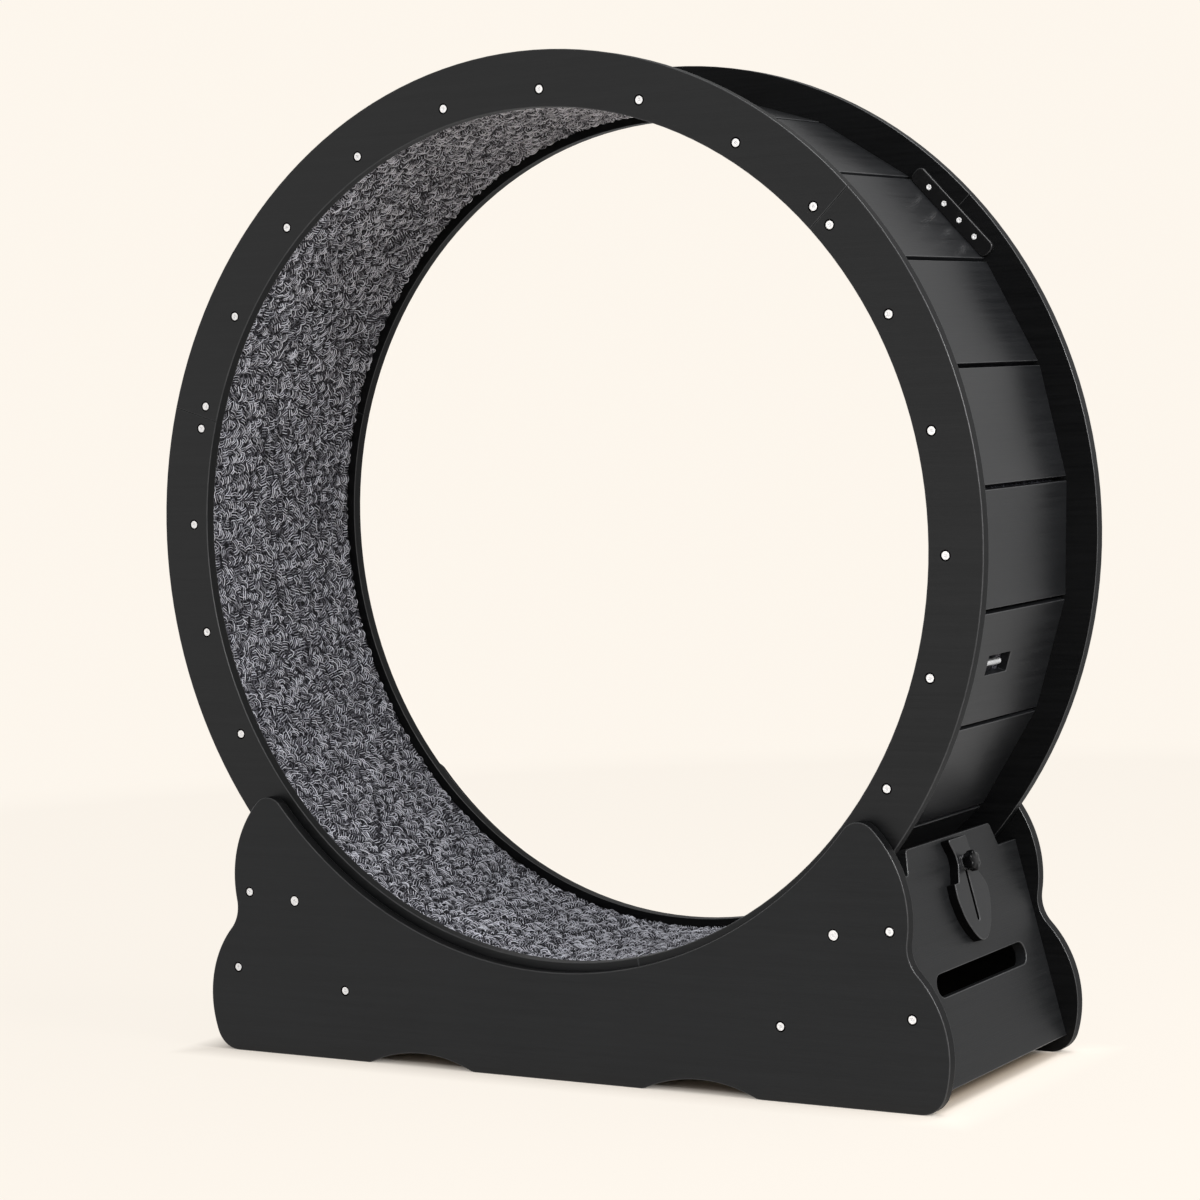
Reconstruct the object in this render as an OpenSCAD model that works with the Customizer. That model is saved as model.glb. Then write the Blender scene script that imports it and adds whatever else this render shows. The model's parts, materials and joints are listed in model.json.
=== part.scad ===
// Cat exercise wheel. Two board rings and a round of planks make a carpet-lined running wheel,
// which turns on four rollers in a low base. A slide latch on the right end panel reaches into
// a window in a plank and stops the wheel.
// The wheel turns about Y, the front faces -Y, the floor is z = 0 under the wheel's axis.

/* [Wheel] */
// Outer diameter of the rings
wheel_d = 1200; // [1120:10:1280]
// Width of a ring board from its inner edge to its rim
ring_w = 70; // [62:1:80]
// Thickness of a ring board
ring_t = 15; // [12:1:18]
// Clear width of the running track between the rings
track_w = 314; // [280:1:350]
// Number of board segments that make up a ring
ring_parts = 3; // [2, 3, 4]
// Number of planks around the wheel, a multiple of the ring segments
tread_count = 24; // [12:12:36]
// Direction of the first ring seam seen from the axis, in degrees above +X
seam_angle = 42.44; // [30:0.01:50]
// Open slit where two ring segments meet
seam_gap = 0.3; // [0.1:0.1:1]
// Depth of the planks' outer faces below the rim
tread_inset = 42; // [36:1:46]
// Thickness of a plank
tread_t = 12; // [10:1:14]
// Slit between two planks on the side of the track
tread_gap = 2.75; // [1:0.25:6]
// Thickness of the carpet at the middle of a plank
carpet_t = 4.7; // [3:0.1:8]
// Slit around the carpet
carpet_gap = 0.3; // [0.1:0.1:1]

/* [Joint plates] */
// Length of a plate across a ring seam
plate_l = 145; // [120:1:160]
// Width of a plate
plate_w = 21.5; // [16:0.5:24]
// Thickness of a plate
plate_t = 6; // [4:0.5:8]
// Radius of a plate's corners
plate_corner_r = 8; // [2:0.5:8]
// Slit between a plate and the plank under it
plate_gap = 0.3; // [0.1:0.1:2]
// Distance between the screws of a plate
plate_screw_pitch = 29.5; // [24:0.5:32]
// Shank diameter of a plate screw
plate_screw_d = 4; // [3:0.5:5]
// Head diameter of a plate screw
plate_screw_head_d = 7.5; // [6:0.5:9]
// Length of a plate screw
plate_screw_l = 16; // [12:1:17]
// Width of the hexagon socket in a plate screw
plate_screw_socket = 2.5; // [2:0.5:3]

/* [Wood screws] */
// Shank diameter of the screws through rings and panels
screw_d = 5; // [4:0.5:6]
// Head diameter of these screws
screw_head_d = 10.5; // [9:0.5:12]
// Length of these screws
screw_l = 45; // [35:1:60]
// Length of the pointed tip
screw_tip = 6; // [3:1:10]
// Width of the hexagon socket
screw_socket = 4; // [3:0.5:5]
// Depth of the sockets in all screws
socket_depth = 2.2; // [1.5:0.1:3]
// Distance of the two screws in a seam plank from the seam
seam_screw_offset = 15.2; // [10:0.1:25]
// Radial clearance of a screw in its hole
screw_play = 0.2; // [0.05:0.05:0.4]

/* [Lock windows] */
// Width of a window across the track
window_w = 62; // [50:1:80]
// Height of a window around the wheel
window_h = 25; // [20:1:35]
// Offset of a window from the middle of its plank, around the wheel
window_offset = 2.5; // [-10:0.5:10]
// Diameter of a strike pin
pin_d = 8.5; // [6:0.5:9]
// Length of a strike pin inside its window
pin_reach = 43; // [30:1:50]
// Length of a strike pin inside the plank
pin_grip = 20; // [12:1:30]
// Offset of a strike pin from the middle of its plank, around the wheel
pin_offset = 3.5; // [-4:0.5:8]
// Radial clearance of a strike pin in its bore
pin_play = 0.1; // [0.05:0.05:0.3]

/* [Side panels] */
// Free height under the wheel
floor_gap = 76; // [66:1:96]
// Thickness of a side panel
side_t = 15; // [12:1:20]
// Running gap between a ring and a side panel
side_gap = 5; // [4:0.5:10]
// Height of a side panel's scoop above the rim
scoop_cover = 60; // [45:1:68]
// Length of the base at its feet
base_l = 1089; // [1060:1:1140]
// Radius of a foot round
foot_r = 140; // [120:1:150]
// Height of a foot round's centre
foot_z = 68; // [60:1:80]
// Radius of a heel between a foot round and the floor
heel_r = 35; // [20:1:45]
// Radius of an ear round
ear_r = 150; // [135:1:160]
// Height of an ear round's centre
ear_z = 228; // [220:1:240]
// Distance by which the ears stand in from the feet
ear_inset = 47.5; // [40:0.5:55]
// Radius of the tip of an ear
ear_tip_r = 25; // [15:1:35]
// Radius of the waist between an ear and a foot
waist_r = 45; // [35:1:60]
// Distance of a floor notch from the middle
notch_x = 207; // [150:1:250]
// Width of a floor notch
notch_w = 160; // [100:1:200]
// Height of a floor notch
notch_h = 17.5; // [10:0.5:30]
// Radius of the lips beside a floor notch
notch_lip_r = 20; // [10:1:40]

/* [End panels] */
// Thickness of an end panel
end_t = 15; // [12:1:18]
// Tilt of an end panel towards the wheel, in degrees
end_tilt = 14; // [12:0.5:16]
// Distance of an end panel's outer face from the end of the feet, taken at the floor
end_inset = 11; // [5:1:20]
// Start of an end panel above the floor, measured along its slant
end_bottom = 24; // [10:1:40]
// Gap between a ring and the shoulders of an end panel
shoulder_gap = 10; // [6:0.5:20]
// Gap between the corners of the planks and the middle tab of an end panel
tab_gap = 23; // [15:1:30]
// Gap beside the tab, on each side, to the line of the ring
tab_side_gap = 31; // [25:1:40]
// Taper of the tab on each side
tab_taper = 10; // [0:1:20]
// Radius of the tab's corners
tab_corner_r = 7; // [3:1:12]
// Width of the handle slot
handle_w = 250; // [150:1:280]
// Height of the handle slot
handle_h = 28; // [24:1:40]
// Middle of the handle slot, measured along the slant
handle_s = 141.5; // [120:0.5:160]
// Lower screw of an end panel, measured along the slant
end_screw_low = 117.3; // [60:0.1:120]
// Depth of the upper screw of an end panel below the shoulders, measured along the slant
end_screw_high = 55.5; // [45:0.5:65]

/* [Rails] */
// Height and width of a rail between the side panels
brace_w = 30; // [24:1:40]
// Distance of a rail from the middle
brace_x = 322.5; // [290:0.5:330]
// Height of a rail's middle
brace_z = 91.5; // [60:0.5:100]

/* [Rollers] */
// Radius of a roller where the rim runs
roller_r = 16; // [14:0.5:20]
// Gap between the rim and a roller
rim_gap = 0.3; // [0.2:0.1:0.6]
// Distance of the rollers' axes from the ends of the feet
roller_inset = 146.2; // [136:0.1:180]
// Height of the flange over the roller
flange_h = 5; // [3:0.5:7]
// Thickness of the flange
flange_t = 4; // [2:0.5:6]
// Gap between the flange and the inner face of the ring
flange_gap = 0.5; // [0.3:0.1:1.5]
// Diameter of a roller bolt and of the latch bolt
bolt_d = 6; // [5:0.5:8]
// Head diameter of a roller bolt
bolt_head_d = 12; // [11:0.5:14]
// Length of a roller bolt
bolt_l = 50; // [49:1:60]
// Outer diameter of a ball bearing
bearing_d = 19; // [17:0.5:22]
// Width of a ball bearing
bearing_w = 6; // [4:0.5:8]
// Radial width of a bearing's inner and outer ring
bearing_race = 1.6; // [1:0.1:2]
// Depth of the shields between the two rings of a bearing
bearing_recess = 0.4; // [0.2:0.1:1]
// Radial clearance between a bearing and its seat in the roller
bearing_fit = 0.05; // [0.02:0.01:0.1]
// Height of the step that a bearing stands against
bearing_step = 1.5; // [1:0.1:3]
// Radial clearance of a turning bore on its bolt
shaft_play = 0.05; // [0.02:0.01:0.1]
// Outer diameter of a roller washer
washer_d = 12; // [10:0.5:16]
// Thickness of a roller washer
washer_t = 1.2; // [1:0.1:2]
// Gap between a turning roller and its washers
spin_gap = 0.3; // [0.2:0.1:0.6]
// Width across the flats of a lock nut
nut_w = 10; // [9:0.5:13]
// Thickness of a lock nut
nut_t = 6; // [4:0.5:6.5]

/* [Latch] */
// Overall width of the latch plate
latch_w = 85; // [70:1:100]
// Overall length of the latch plate
latch_l = 129; // [115:1:150]
// Thickness of the latch plate
latch_t = 12; // [8:1:15]
// Depth of the latch plate's top edge below the tab's top edge, at rest
latch_drop = 4; // [0:0.5:10]
// Depth of the latch bolt below the tab's top edge
latch_bolt_drop = 35.5; // [30:0.5:38]
// Full stroke of the latch plate
latch_stroke = 66; // [50:1:70]
// End play of the latch bolt in its slot
latch_end_play = 2.8; // [0.5:0.1:4]
// Side play of the latch bolt in its slot
latch_play = 0.2; // [0.1:0.05:0.5]
// Running gap in front of and behind the latch plate
latch_gap = 0.3; // [0.2:0.1:1]
// Diameter of the latch bolt's head, behind the end panel
latch_head_d = 16; // [12:1:20]
// Thickness of the latch bolt's head
latch_head_t = 2.5; // [2:0.5:4]
// Outer diameter of the knob's washer
knob_washer_d = 18; // [14:1:20]
// Thickness of the knob's washer
knob_washer_t = 1.6; // [1:0.1:2]
// Diameter of the knob over its lobes
knob_d = 26; // [22:1:34]
// Number of lobes of the knob
knob_lobes = 6; // [4:1:8]
// Depth of the hollows between the lobes
knob_hollow = 3; // [1:0.5:3.5]
// Height of the knob's lobed head
knob_head_h = 10; // [8:0.5:16]
// Diameter of the knob's neck
knob_neck_d = 15; // [13:0.5:18]
// Height of the knob's neck
knob_neck_h = 4; // [2:0.5:8]
// Height of the knob's low crown
knob_crown_h = 1.5; // [0.5:0.5:3]
// Thickness of the knob over the end of the bolt
knob_roof = 3; // [2:0.5:4]

/* [Hidden] */
$fn = 96;
large_fn = 480;
arc_steps = 12;
long_arc_steps = 24;
corner_steps = 6;
lobe_points = 12;
hexagon = 6;

// Overrun of every cut past the face it opens
overrun = 1;

// Wheel: radii from the axis, and half widths from the middle of the track
wheel_r = wheel_d / 2;
ring_inner_r = wheel_r - ring_w;
tread_outer_r = wheel_r - tread_inset;
tread_inner_r = tread_outer_r - tread_t;
tread_mid_r = tread_outer_r - tread_t / 2;
tread_pitch = 360 / tread_count;
tread_w = 2 * tread_inner_r * tan(tread_pitch / 2) - tread_gap;
tread_corner_r = norm([tread_outer_r, tread_w / 2]);
carpet_outer_r = tread_inner_r - carpet_gap;
carpet_inner_r = carpet_outer_r - carpet_t;
treads_per_part = tread_count / ring_parts;
part_angle = 360 / ring_parts;
seam_gap_angle = atan(seam_gap / wheel_r);
ring_y_in = track_w / 2;
ring_y_out = ring_y_in + ring_t;
plate_mid_r = tread_outer_r + plate_gap + plate_w / 2;
axle_z = wheel_r + floor_gap;

// Base: half widths, and the outline's centres as [x, z]
side_y_in = ring_y_out + side_gap;
side_y_out = side_y_in + side_t;
scoop_r = wheel_r - scoop_cover;
axle = [0, axle_z];
foot = [base_l / 2 - foot_r, foot_z];
ear = [base_l / 2 - ear_inset - ear_r, ear_z];
heel = [foot[0] + sqrt(pow(foot_r - heel_r, 2) - pow(foot_z - heel_r, 2)), heel_r];
waist = meet(ear, ear_r + waist_r, foot, foot_r + waist_r);
ear_tip = meet(axle, scoop_r + ear_tip_r, ear, ear_r - ear_tip_r);
notch_r = (pow(notch_w / 2, 2) + pow(notch_h, 2)) / (2 * notch_h);
notch = [notch_x, notch_h - notch_r];
lip_dx = sqrt(pow(notch_r + notch_lip_r, 2) - pow(notch_lip_r - notch[1], 2));

// End panels: lengths along the slant, from where the outer face would meet the floor
end_foot_x = base_l / 2 - end_inset;
shoulder_s = slant_reach(wheel_r + shoulder_gap);
tab_s = slant_reach(tread_corner_r + tab_gap);
tab_half_w = ring_y_in - tab_side_gap;
tab_top_half_w = tab_half_w - tab_taper;
end_screw_places = [end_middle(end_screw_low), end_middle(shoulder_s - end_screw_high)];

// Rollers
roller_reach = wheel_r + rim_gap + roller_r;
roller_x = base_l / 2 - roller_inset;
roller_z = axle_z - sqrt(pow(roller_reach, 2) - pow(roller_x, 2));
roller_y_out = side_y_in - washer_t - spin_gap;
flange_y_out = ring_y_in - flange_gap;
roller_y_in = flange_y_out - flange_t;
bearing_seat_r = bearing_d / 2 + bearing_fit;
roller_bore_r = bearing_seat_r - bearing_step;
bearing_bore_r = bolt_d / 2 + shaft_play;
inner_washer_y = roller_y_in - spin_gap - washer_t;

// Latch: heights over the outer face of the end panel
latch_bolt_s = tab_s - latch_bolt_drop;
latch_top_s = tab_s - latch_drop;
knob_washer_h = latch_gap + latch_t + latch_gap;
knob_h = knob_washer_h + knob_washer_t;
latch_bolt_h = knob_h + knob_neck_h + knob_head_h - knob_roof;

// Latch plate: across the plate from the bolt as a share of latch_w, down from the top edge as a
// share of latch_l, and the corner radius as a share of latch_w
latch_outline_shares = [
    [0.25, 0, 0.03],
    [0.28, -0.13, 0.3],
    [0.33, -0.35, 0.3],
    [0.52, -0.48, 0.22],
    [0.53, -0.63, 0.35],
    [0.35, -0.87, 0.55],
    [0.16, -0.98, 0.25],
    [-0.04, -1, 0.2],
    [-0.21, -0.91, 0.6],
    [-0.39, -0.75, 0.6],
    [-0.47, -0.54, 0.45],
    [-0.45, -0.41, 0.02],
    [-0.32, -0.41, 0.02],
    [-0.2, -0.25, 0.1],
    [-0.2, -0.16, 0.1],
    [-0.31, 0, 0.03],
];

board = [0.19, 0.19, 0.2];
board_edge = [0.26, 0.26, 0.27];
carpet_grey = [0.3, 0.3, 0.34];
steel = [0.8, 0.81, 0.82];
black_plastic = [0.07, 0.07, 0.08];
rubber_black = [0.12, 0.12, 0.12];

// Names with a running number
function numbered(name, i) = str(name, i + 1);
function tread_name(i) = str("tread_", i < 9 ? "0" : "", i + 1);

// Points of an arc about a centre, both ends included
function arc(centre, radius, from, to, steps = arc_steps) =
    [for (i = [0:steps]) centre + radius * unit(from + (to - from) * i / steps)];

function unit(angle) = [cos(angle), sin(angle)];

// Direction from one point to another, in degrees
function direction(from, to) = atan2(to[1] - from[1], to[0] - from[0]);

// The point at one distance from a and at another from b, on the right-hand upper side
function meet(a, distance_a, b, distance_b) =
    let (
        apart = norm(b - a),
        along = (pow(distance_a, 2) - pow(distance_b, 2) + pow(apart, 2)) / (2 * apart),
        across = sqrt(pow(distance_a, 2) - pow(along, 2)),
        way = (b - a) / apart
    )
    a + along * way + across * [-way[1], way[0]];

// Angle brought to the range from -180 to 180
function turned(angle) = angle - 360 * floor((angle + 180) / 360);

// Outline whose corners [x, y, radius] are rounded
function rounded(corners) =
    let (count = len(corners))
    [
        for (i = [0:count - 1])
            let (
                before = corners[(i + count - 1) % count],
                after = corners[(i + 1) % count]
            )
            each round_corner(corners[i], before, after)
    ];

function round_corner(corner, before, after) =
    let (
        here = [corner[0], corner[1]],
        to_before = unit(direction(here, before)),
        to_after = unit(direction(here, after)),
        half = acos(to_before * to_after) / 2,
        middle = (to_before + to_after) / norm(to_before + to_after),
        centre = here + middle * corner[2] / sin(half),
        tangent = corner[2] / tan(half),
        from = direction(centre, here + to_before * tangent),
        to = direction(centre, here + to_after * tangent)
    )
    corner[2] == 0 ? [here] : arc(centre, corner[2], from, from + turned(to - from), corner_steps);

// Slot with round ends, along x, about the origin
function stadium(length, width) =
    let (end = (length - width) / 2)
    concat(arc([end, 0], width / 2, -90, 90), arc([-end, 0], width / 2, 90, 270));

// Length along an end panel's slant at which its inner face comes this near to the axis
function slant_reach(distance) =
    let (
        start = [end_foot_x, 0] - end_t * unit(end_tilt) - axle,
        way = unit(end_tilt + 90),
        along = start * way
    )
    -along - sqrt(pow(along, 2) - start * start + pow(distance, 2));

// Middle of an end panel's thickness, as [x, z], at a length along its slant
function end_middle(s) = [end_foot_x, 0] - end_t / 2 * unit(end_tilt) + s * unit(end_tilt + 90);

function tread_angle(i) = seam_angle + i * tread_pitch;
function is_seam(i) = i % treads_per_part == 0;
function is_lock(i) = i % treads_per_part == floor(treads_per_part / 2);
function ring_screw_offsets(i) = is_seam(i) ? [-seam_screw_offset, seam_screw_offset] : [0];

// Frame at the axis whose x points out at this angle, and whose z runs around the wheel
module at_angle(angle)
    translate([0, 0, axle_z])
    rotate([0, -angle, 0])
    children();

// Frame seen from the front: x stays, y is up and z points towards the front
module from_front()
    rotate([90, 0, 0])
    children();

// The front as it is, or its mirror image at the rear
module on_side(side) {
    if (side == "rear")
        mirror([0, 1, 0]) children();
    else
        children();
}

// The right end as it is, or its mirror image at the left
module on_end(end) {
    if (end == "left")
        mirror([1, 0, 0]) children();
    else
        children();
}

// Frame of the right end panel: x points out of its outer face, z runs up its slant
module on_slant()
    translate([end_foot_x, 0, 0])
    rotate([0, -end_tilt, 0])
    children();

// Plate on the slant with its outline drawn as [y, s], from one height over the face to another
module slant_plate(from, to, outline)
    translate([from, 0, 0])
    rotate([90, 0, 90])
    linear_extrude(to - from)
    polygon(outline);

// Screw with a flat head at z = 0, pointing down; a bolt has no tip
module flat_screw(d, head_d, length, tip, socket) {
    head_h = (head_d - d) / 2;
    difference() {
        rotate_extrude()
            polygon([
                [0, 0],
                [head_d / 2, 0],
                [d / 2, -head_h],
                [d / 2, tip - length],
                [0, -length],
            ]);
        translate([0, 0, -socket_depth])
            cylinder(h = socket_depth + overrun, d = socket / cos(180 / hexagon), $fn = hexagon);
    }
}

// Countersunk hole for such a screw
module flat_screw_hole(d, head_d, length) {
    head_h = (head_d - d) / 2;
    rotate_extrude()
        polygon([
            [0, overrun],
            [head_d / 2 + screw_play, overrun],
            [head_d / 2 + screw_play, 0],
            [d / 2 + screw_play, -head_h],
            [d / 2 + screw_play, -length - screw_play],
            [0, -length - screw_play],
        ]);
}

module wood_screw() flat_screw(screw_d, screw_head_d, screw_l, screw_tip, screw_socket);
module wood_screw_hole() flat_screw_hole(screw_d, screw_head_d, screw_l);

// Places of the front ring screws of one plank
module at_ring_screws(i)
    for (offset = ring_screw_offsets(i))
        at_angle(tread_angle(i))
            from_front()
                translate([tread_mid_r, offset, ring_y_out])
                    children();

// Places of the front joint plate screws at one seam
module at_plate_screws(part)
    for (step = [-1.5:1:1.5])
        at_angle(seam_angle + part * part_angle)
            from_front()
                translate([plate_mid_r, step * plate_screw_pitch, ring_y_in - plate_t])
                    mirror([0, 0, 1])
                        children();

// One board segment of the front ring, from seam to seam
module ring_segment(part) {
    first = part * treads_per_part;
    difference() {
        at_angle(seam_angle + part * part_angle)
            from_front()
                translate([0, 0, ring_y_in])
                    rotate_extrude(angle = part_angle - seam_gap_angle)
                        translate([ring_inner_r, 0])
                            square([ring_w, ring_t]);
        for (i = [first:first + treads_per_part])
            at_ring_screws(i % tread_count) wood_screw_hole();
        for (seam = [part, part + 1])
            at_plate_screws(seam % ring_parts) plate_screw_hole();
    }
}

module plate_screw_hole() flat_screw_hole(plate_screw_d, plate_screw_head_d, plate_screw_l);

// One plank, with a lock window in the middle plank of each ring segment
module tread(i) {
    color(board_edge)
        difference() {
            at_angle(tread_angle(i))
                translate([tread_inner_r, -ring_y_in, -tread_w / 2])
                    cube([tread_t, track_w, tread_w]);
            for (side = ["front", "rear"])
                on_side(side) at_ring_screws(i) wood_screw_hole();
            if (is_lock(i)) at_angle(tread_angle(i)) lock_window_cut();
        }
}

module lock_window_cut() {
    translate([tread_inner_r - overrun, -window_w / 2, window_offset - window_h / 2])
        cube([tread_t + 2 * overrun, window_w, window_h]);
    translate([tread_mid_r, -window_w / 2 - pin_grip - pin_play, pin_offset])
        rotate([-90, 0, 0])
            cylinder(h = pin_grip + pin_play + overrun, r = pin_d / 2 + pin_play);
}

module strike_pins() {
    color(steel)
        for (i = [0:tread_count - 1])
            if (is_lock(i))
                at_angle(tread_angle(i))
                    translate([tread_mid_r, -window_w / 2 - pin_grip, pin_offset])
                        rotate([-90, 0, 0])
                            cylinder(h = pin_grip + pin_reach, d = pin_d);
}

// Closed round of carpet, flat on each plank and round on the running side
module carpet_liner() {
    corner_r = carpet_outer_r / cos(tread_pitch / 2);
    color(carpet_grey)
        at_angle(seam_angle)
            from_front()
                difference() {
                    translate([0, 0, carpet_gap - ring_y_in])
                        linear_extrude(track_w - 2 * carpet_gap)
                            polygon([
                                for (i = [0:tread_count - 1]) corner_r * unit((i + 1 / 2) * tread_pitch)
                            ]);
                    translate([0, 0, -ring_y_in - overrun])
                        cylinder(h = track_w + 2 * overrun, r = carpet_inner_r, $fn = large_fn);
                }
}

// The front joint plates, one over each seam
module joint_plates() {
    half = [plate_w / 2, plate_l / 2];
    r = plate_corner_r;
    outline = rounded([
        [-half[0], -half[1], r],
        [half[0], -half[1], r],
        [half[0], half[1], r],
        [-half[0], half[1], r],
    ]);
    color(black_plastic)
        for (part = [0:ring_parts - 1])
            difference() {
                at_angle(seam_angle + part * part_angle)
                    from_front()
                        translate([plate_mid_r, 0, ring_y_in - plate_t])
                            linear_extrude(plate_t)
                                polygon(outline);
                at_plate_screws(part) plate_screw_hole();
            }
}

module plate_screws() {
    color(steel)
        for (side = ["front", "rear"])
            on_side(side)
                for (part = [0:ring_parts - 1])
                    at_plate_screws(part)
                        flat_screw(
                            plate_screw_d,
                            plate_screw_head_d,
                            plate_screw_l,
                            plate_screw_d,
                            plate_screw_socket
                        );
}

module ring_screws() {
    color(steel)
        for (i = [0:tread_count - 1])
            at_ring_screws(i) wood_screw();
}

// Right half of a side panel's outline as [x, z], from the middle of the floor around to the scoop
function panel_half() =
    let (
        inner_lip = [notch_x - lip_dx, notch_lip_r],
        outer_lip = [notch_x + lip_dx, notch_lip_r],
        tip_end = direction(ear_tip, axle),
        tip_start = direction(ear, ear_tip),
        tip_last = tip_end - (tip_end - tip_start) / arc_steps
    )
    concat(
        arc(inner_lip, notch_lip_r, -90, direction(inner_lip, notch)),
        arc(notch, notch_r, direction(notch, inner_lip), direction(notch, outer_lip), long_arc_steps),
        arc(outer_lip, notch_lip_r, direction(outer_lip, notch), -90),
        arc(heel, heel_r, -90, direction(foot, heel)),
        arc(foot, foot_r, direction(foot, heel), direction(foot, waist), long_arc_steps),
        arc(waist, waist_r, direction(foot, waist) + 180, direction(ear, waist) + 180),
        arc(ear, ear_r, direction(ear, waist), tip_start, long_arc_steps),
        arc(ear_tip, ear_tip_r, tip_start, tip_last),
        [ear_tip + (ear_tip_r + overrun) * unit(tip_end)]
    );

function mirrored(points) = [for (i = [len(points) - 1:-1:0]) [-points[i][0], points[i][1]]];

// Places of the wood screws in a side panel, as [x, z], on the right half
function half_screw_places() = concat(end_screw_places, [[brace_x, brace_z]]);

function screw_places() = concat(half_screw_places(), mirrored(half_screw_places()));

module at_base_screws(places)
    for (place = places)
        from_front()
            translate([place[0], place[1], side_y_out])
                children();

// One roller's place on the front side, with z towards the front
module at_front_roller(end)
    on_end(end)
        from_front()
            translate([roller_x, roller_z, 0])
                children();

module side_panel() {
    color(board)
        difference() {
            from_front()
                translate([0, 0, side_y_in])
                    linear_extrude(side_t)
                        polygon(concat(panel_half(), mirrored(panel_half())));
            from_front()
                translate([0, axle_z, side_y_in - overrun])
                    cylinder(h = side_t + 2 * overrun, r = scoop_r);
            at_base_screws(screw_places()) wood_screw_hole();
            for (end = ["left", "right"])
                at_front_roller(end)
                    translate([0, 0, side_y_out])
                        flat_screw_hole(bolt_d, bolt_head_d, bolt_l);
        }
}

// Outline of an end panel as [y, s]
function end_outline() = rounded([
    [-side_y_in, end_bottom, 0],
    [side_y_in, end_bottom, 0],
    [side_y_in, shoulder_s, 0],
    [tab_half_w, shoulder_s, tab_corner_r / 2],
    [tab_top_half_w, tab_s, tab_corner_r],
    [-tab_top_half_w, tab_s, tab_corner_r],
    [-tab_half_w, shoulder_s, tab_corner_r / 2],
    [-side_y_in, shoulder_s, 0],
]);

module handle_slot_cut()
    translate([0, 0, handle_s])
        slant_plate(-end_t - overrun, overrun, stadium(handle_w, handle_h));

module end_panel(end) {
    color(board_edge)
        on_end(end)
            difference() {
                on_slant() slant_plate(-end_t, 0, end_outline());
                on_slant() handle_slot_cut();
                for (side = ["front", "rear"])
                    on_side(side) at_base_screws(end_screw_places) wood_screw_hole();
                if (end == "right") on_slant() latch_bolt_cut();
            }
}

module latch_bolt_cut()
    translate([-end_t - overrun, 0, latch_bolt_s])
        rotate([0, 90, 0])
            cylinder(h = end_t + 2 * overrun, r = bolt_d / 2 + screw_play);

module brace(end) {
    color(board)
        on_end(end)
            difference() {
                translate([brace_x - brace_w / 2, -side_y_in, brace_z - brace_w / 2])
                    cube([brace_w, 2 * side_y_in, brace_w]);
                for (side = ["front", "rear"])
                    on_side(side) at_base_screws([[brace_x, brace_z]]) wood_screw_hole();
            }
}

module base_screws() {
    color(steel)
        for (side = ["front", "rear"])
            on_side(side) at_base_screws(screw_places()) wood_screw();
}

// The four rollers are numbered front left, front right, rear left, rear right
module at_roller(i)
    on_side(i < 2 ? "front" : "rear")
        at_front_roller(i % 2 == 0 ? "left" : "right")
            children();

module roller(i) {
    color(rubber_black)
        at_roller(i)
            rotate_extrude()
                polygon([
                    [bearing_seat_r, roller_y_in],
                    [roller_r + flange_h, roller_y_in],
                    [roller_r + flange_h, flange_y_out],
                    [roller_r, flange_y_out],
                    [roller_r, roller_y_out],
                    [bearing_seat_r, roller_y_out],
                    [bearing_seat_r, roller_y_out - bearing_w],
                    [roller_bore_r, roller_y_out - bearing_w],
                    [roller_bore_r, roller_y_in + bearing_w],
                    [bearing_seat_r, roller_y_in + bearing_w],
                ]);
}

// A sealed ball bearing from z = 0 up, drawn as one turned piece
module ball_bearing() {
    outer_r = bearing_d / 2;
    rotate_extrude()
        polygon([
            [bearing_bore_r, 0],
            [bearing_bore_r + bearing_race, 0],
            [bearing_bore_r + bearing_race, bearing_recess],
            [outer_r - bearing_race, bearing_recess],
            [outer_r - bearing_race, 0],
            [outer_r, 0],
            [outer_r, bearing_w],
            [outer_r - bearing_race, bearing_w],
            [outer_r - bearing_race, bearing_w - bearing_recess],
            [bearing_bore_r + bearing_race, bearing_w - bearing_recess],
            [bearing_bore_r + bearing_race, bearing_w],
            [bearing_bore_r, bearing_w],
        ]);
}

module roller_bearings(i) {
    color(steel)
        at_roller(i)
            for (z = [roller_y_in, roller_y_out - bearing_w])
                translate([0, 0, z]) ball_bearing();
}

module roller_bolts() {
    color(steel)
        for (i = [0:3])
            at_roller(i)
                translate([0, 0, side_y_out])
                    flat_screw(bolt_d, bolt_head_d, bolt_l, 0, screw_socket);
}

// Washer or nut around a bolt, from z = 0 up
module collar(h, d, sides = $fn) {
    difference() {
        cylinder(h = h, d = d, $fn = sides);
        translate([0, 0, -overrun])
            cylinder(h = h + 2 * overrun, r = bolt_d / 2 + screw_play);
    }
}

module roller_washers() {
    color(steel)
        for (i = [0:3])
            at_roller(i)
                for (z = [side_y_in - washer_t, inner_washer_y])
                    translate([0, 0, z]) collar(washer_t, washer_d);
}

module roller_nuts() {
    color(steel)
        for (i = [0:3])
            at_roller(i)
                translate([0, 0, inner_washer_y - nut_t])
                    collar(nut_t, nut_w / cos(180 / hexagon), hexagon);
}

// Frame of the latch bolt, with z out of the end panel and z = 0 at its outer face
module at_latch_bolt()
    on_slant()
        translate([0, 0, latch_bolt_s])
            rotate([0, 90, 0])
                children();

module latch_bolt() {
    color(steel)
        at_latch_bolt()
            rotate_extrude()
                polygon([
                    [0, -end_t - latch_head_t],
                    [latch_head_d / 2, -end_t - latch_head_t],
                    [latch_head_d / 2, -end_t],
                    [bolt_d / 2, -end_t],
                    [bolt_d / 2, latch_bolt_h],
                    [0, latch_bolt_h],
                ]);
}

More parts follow.
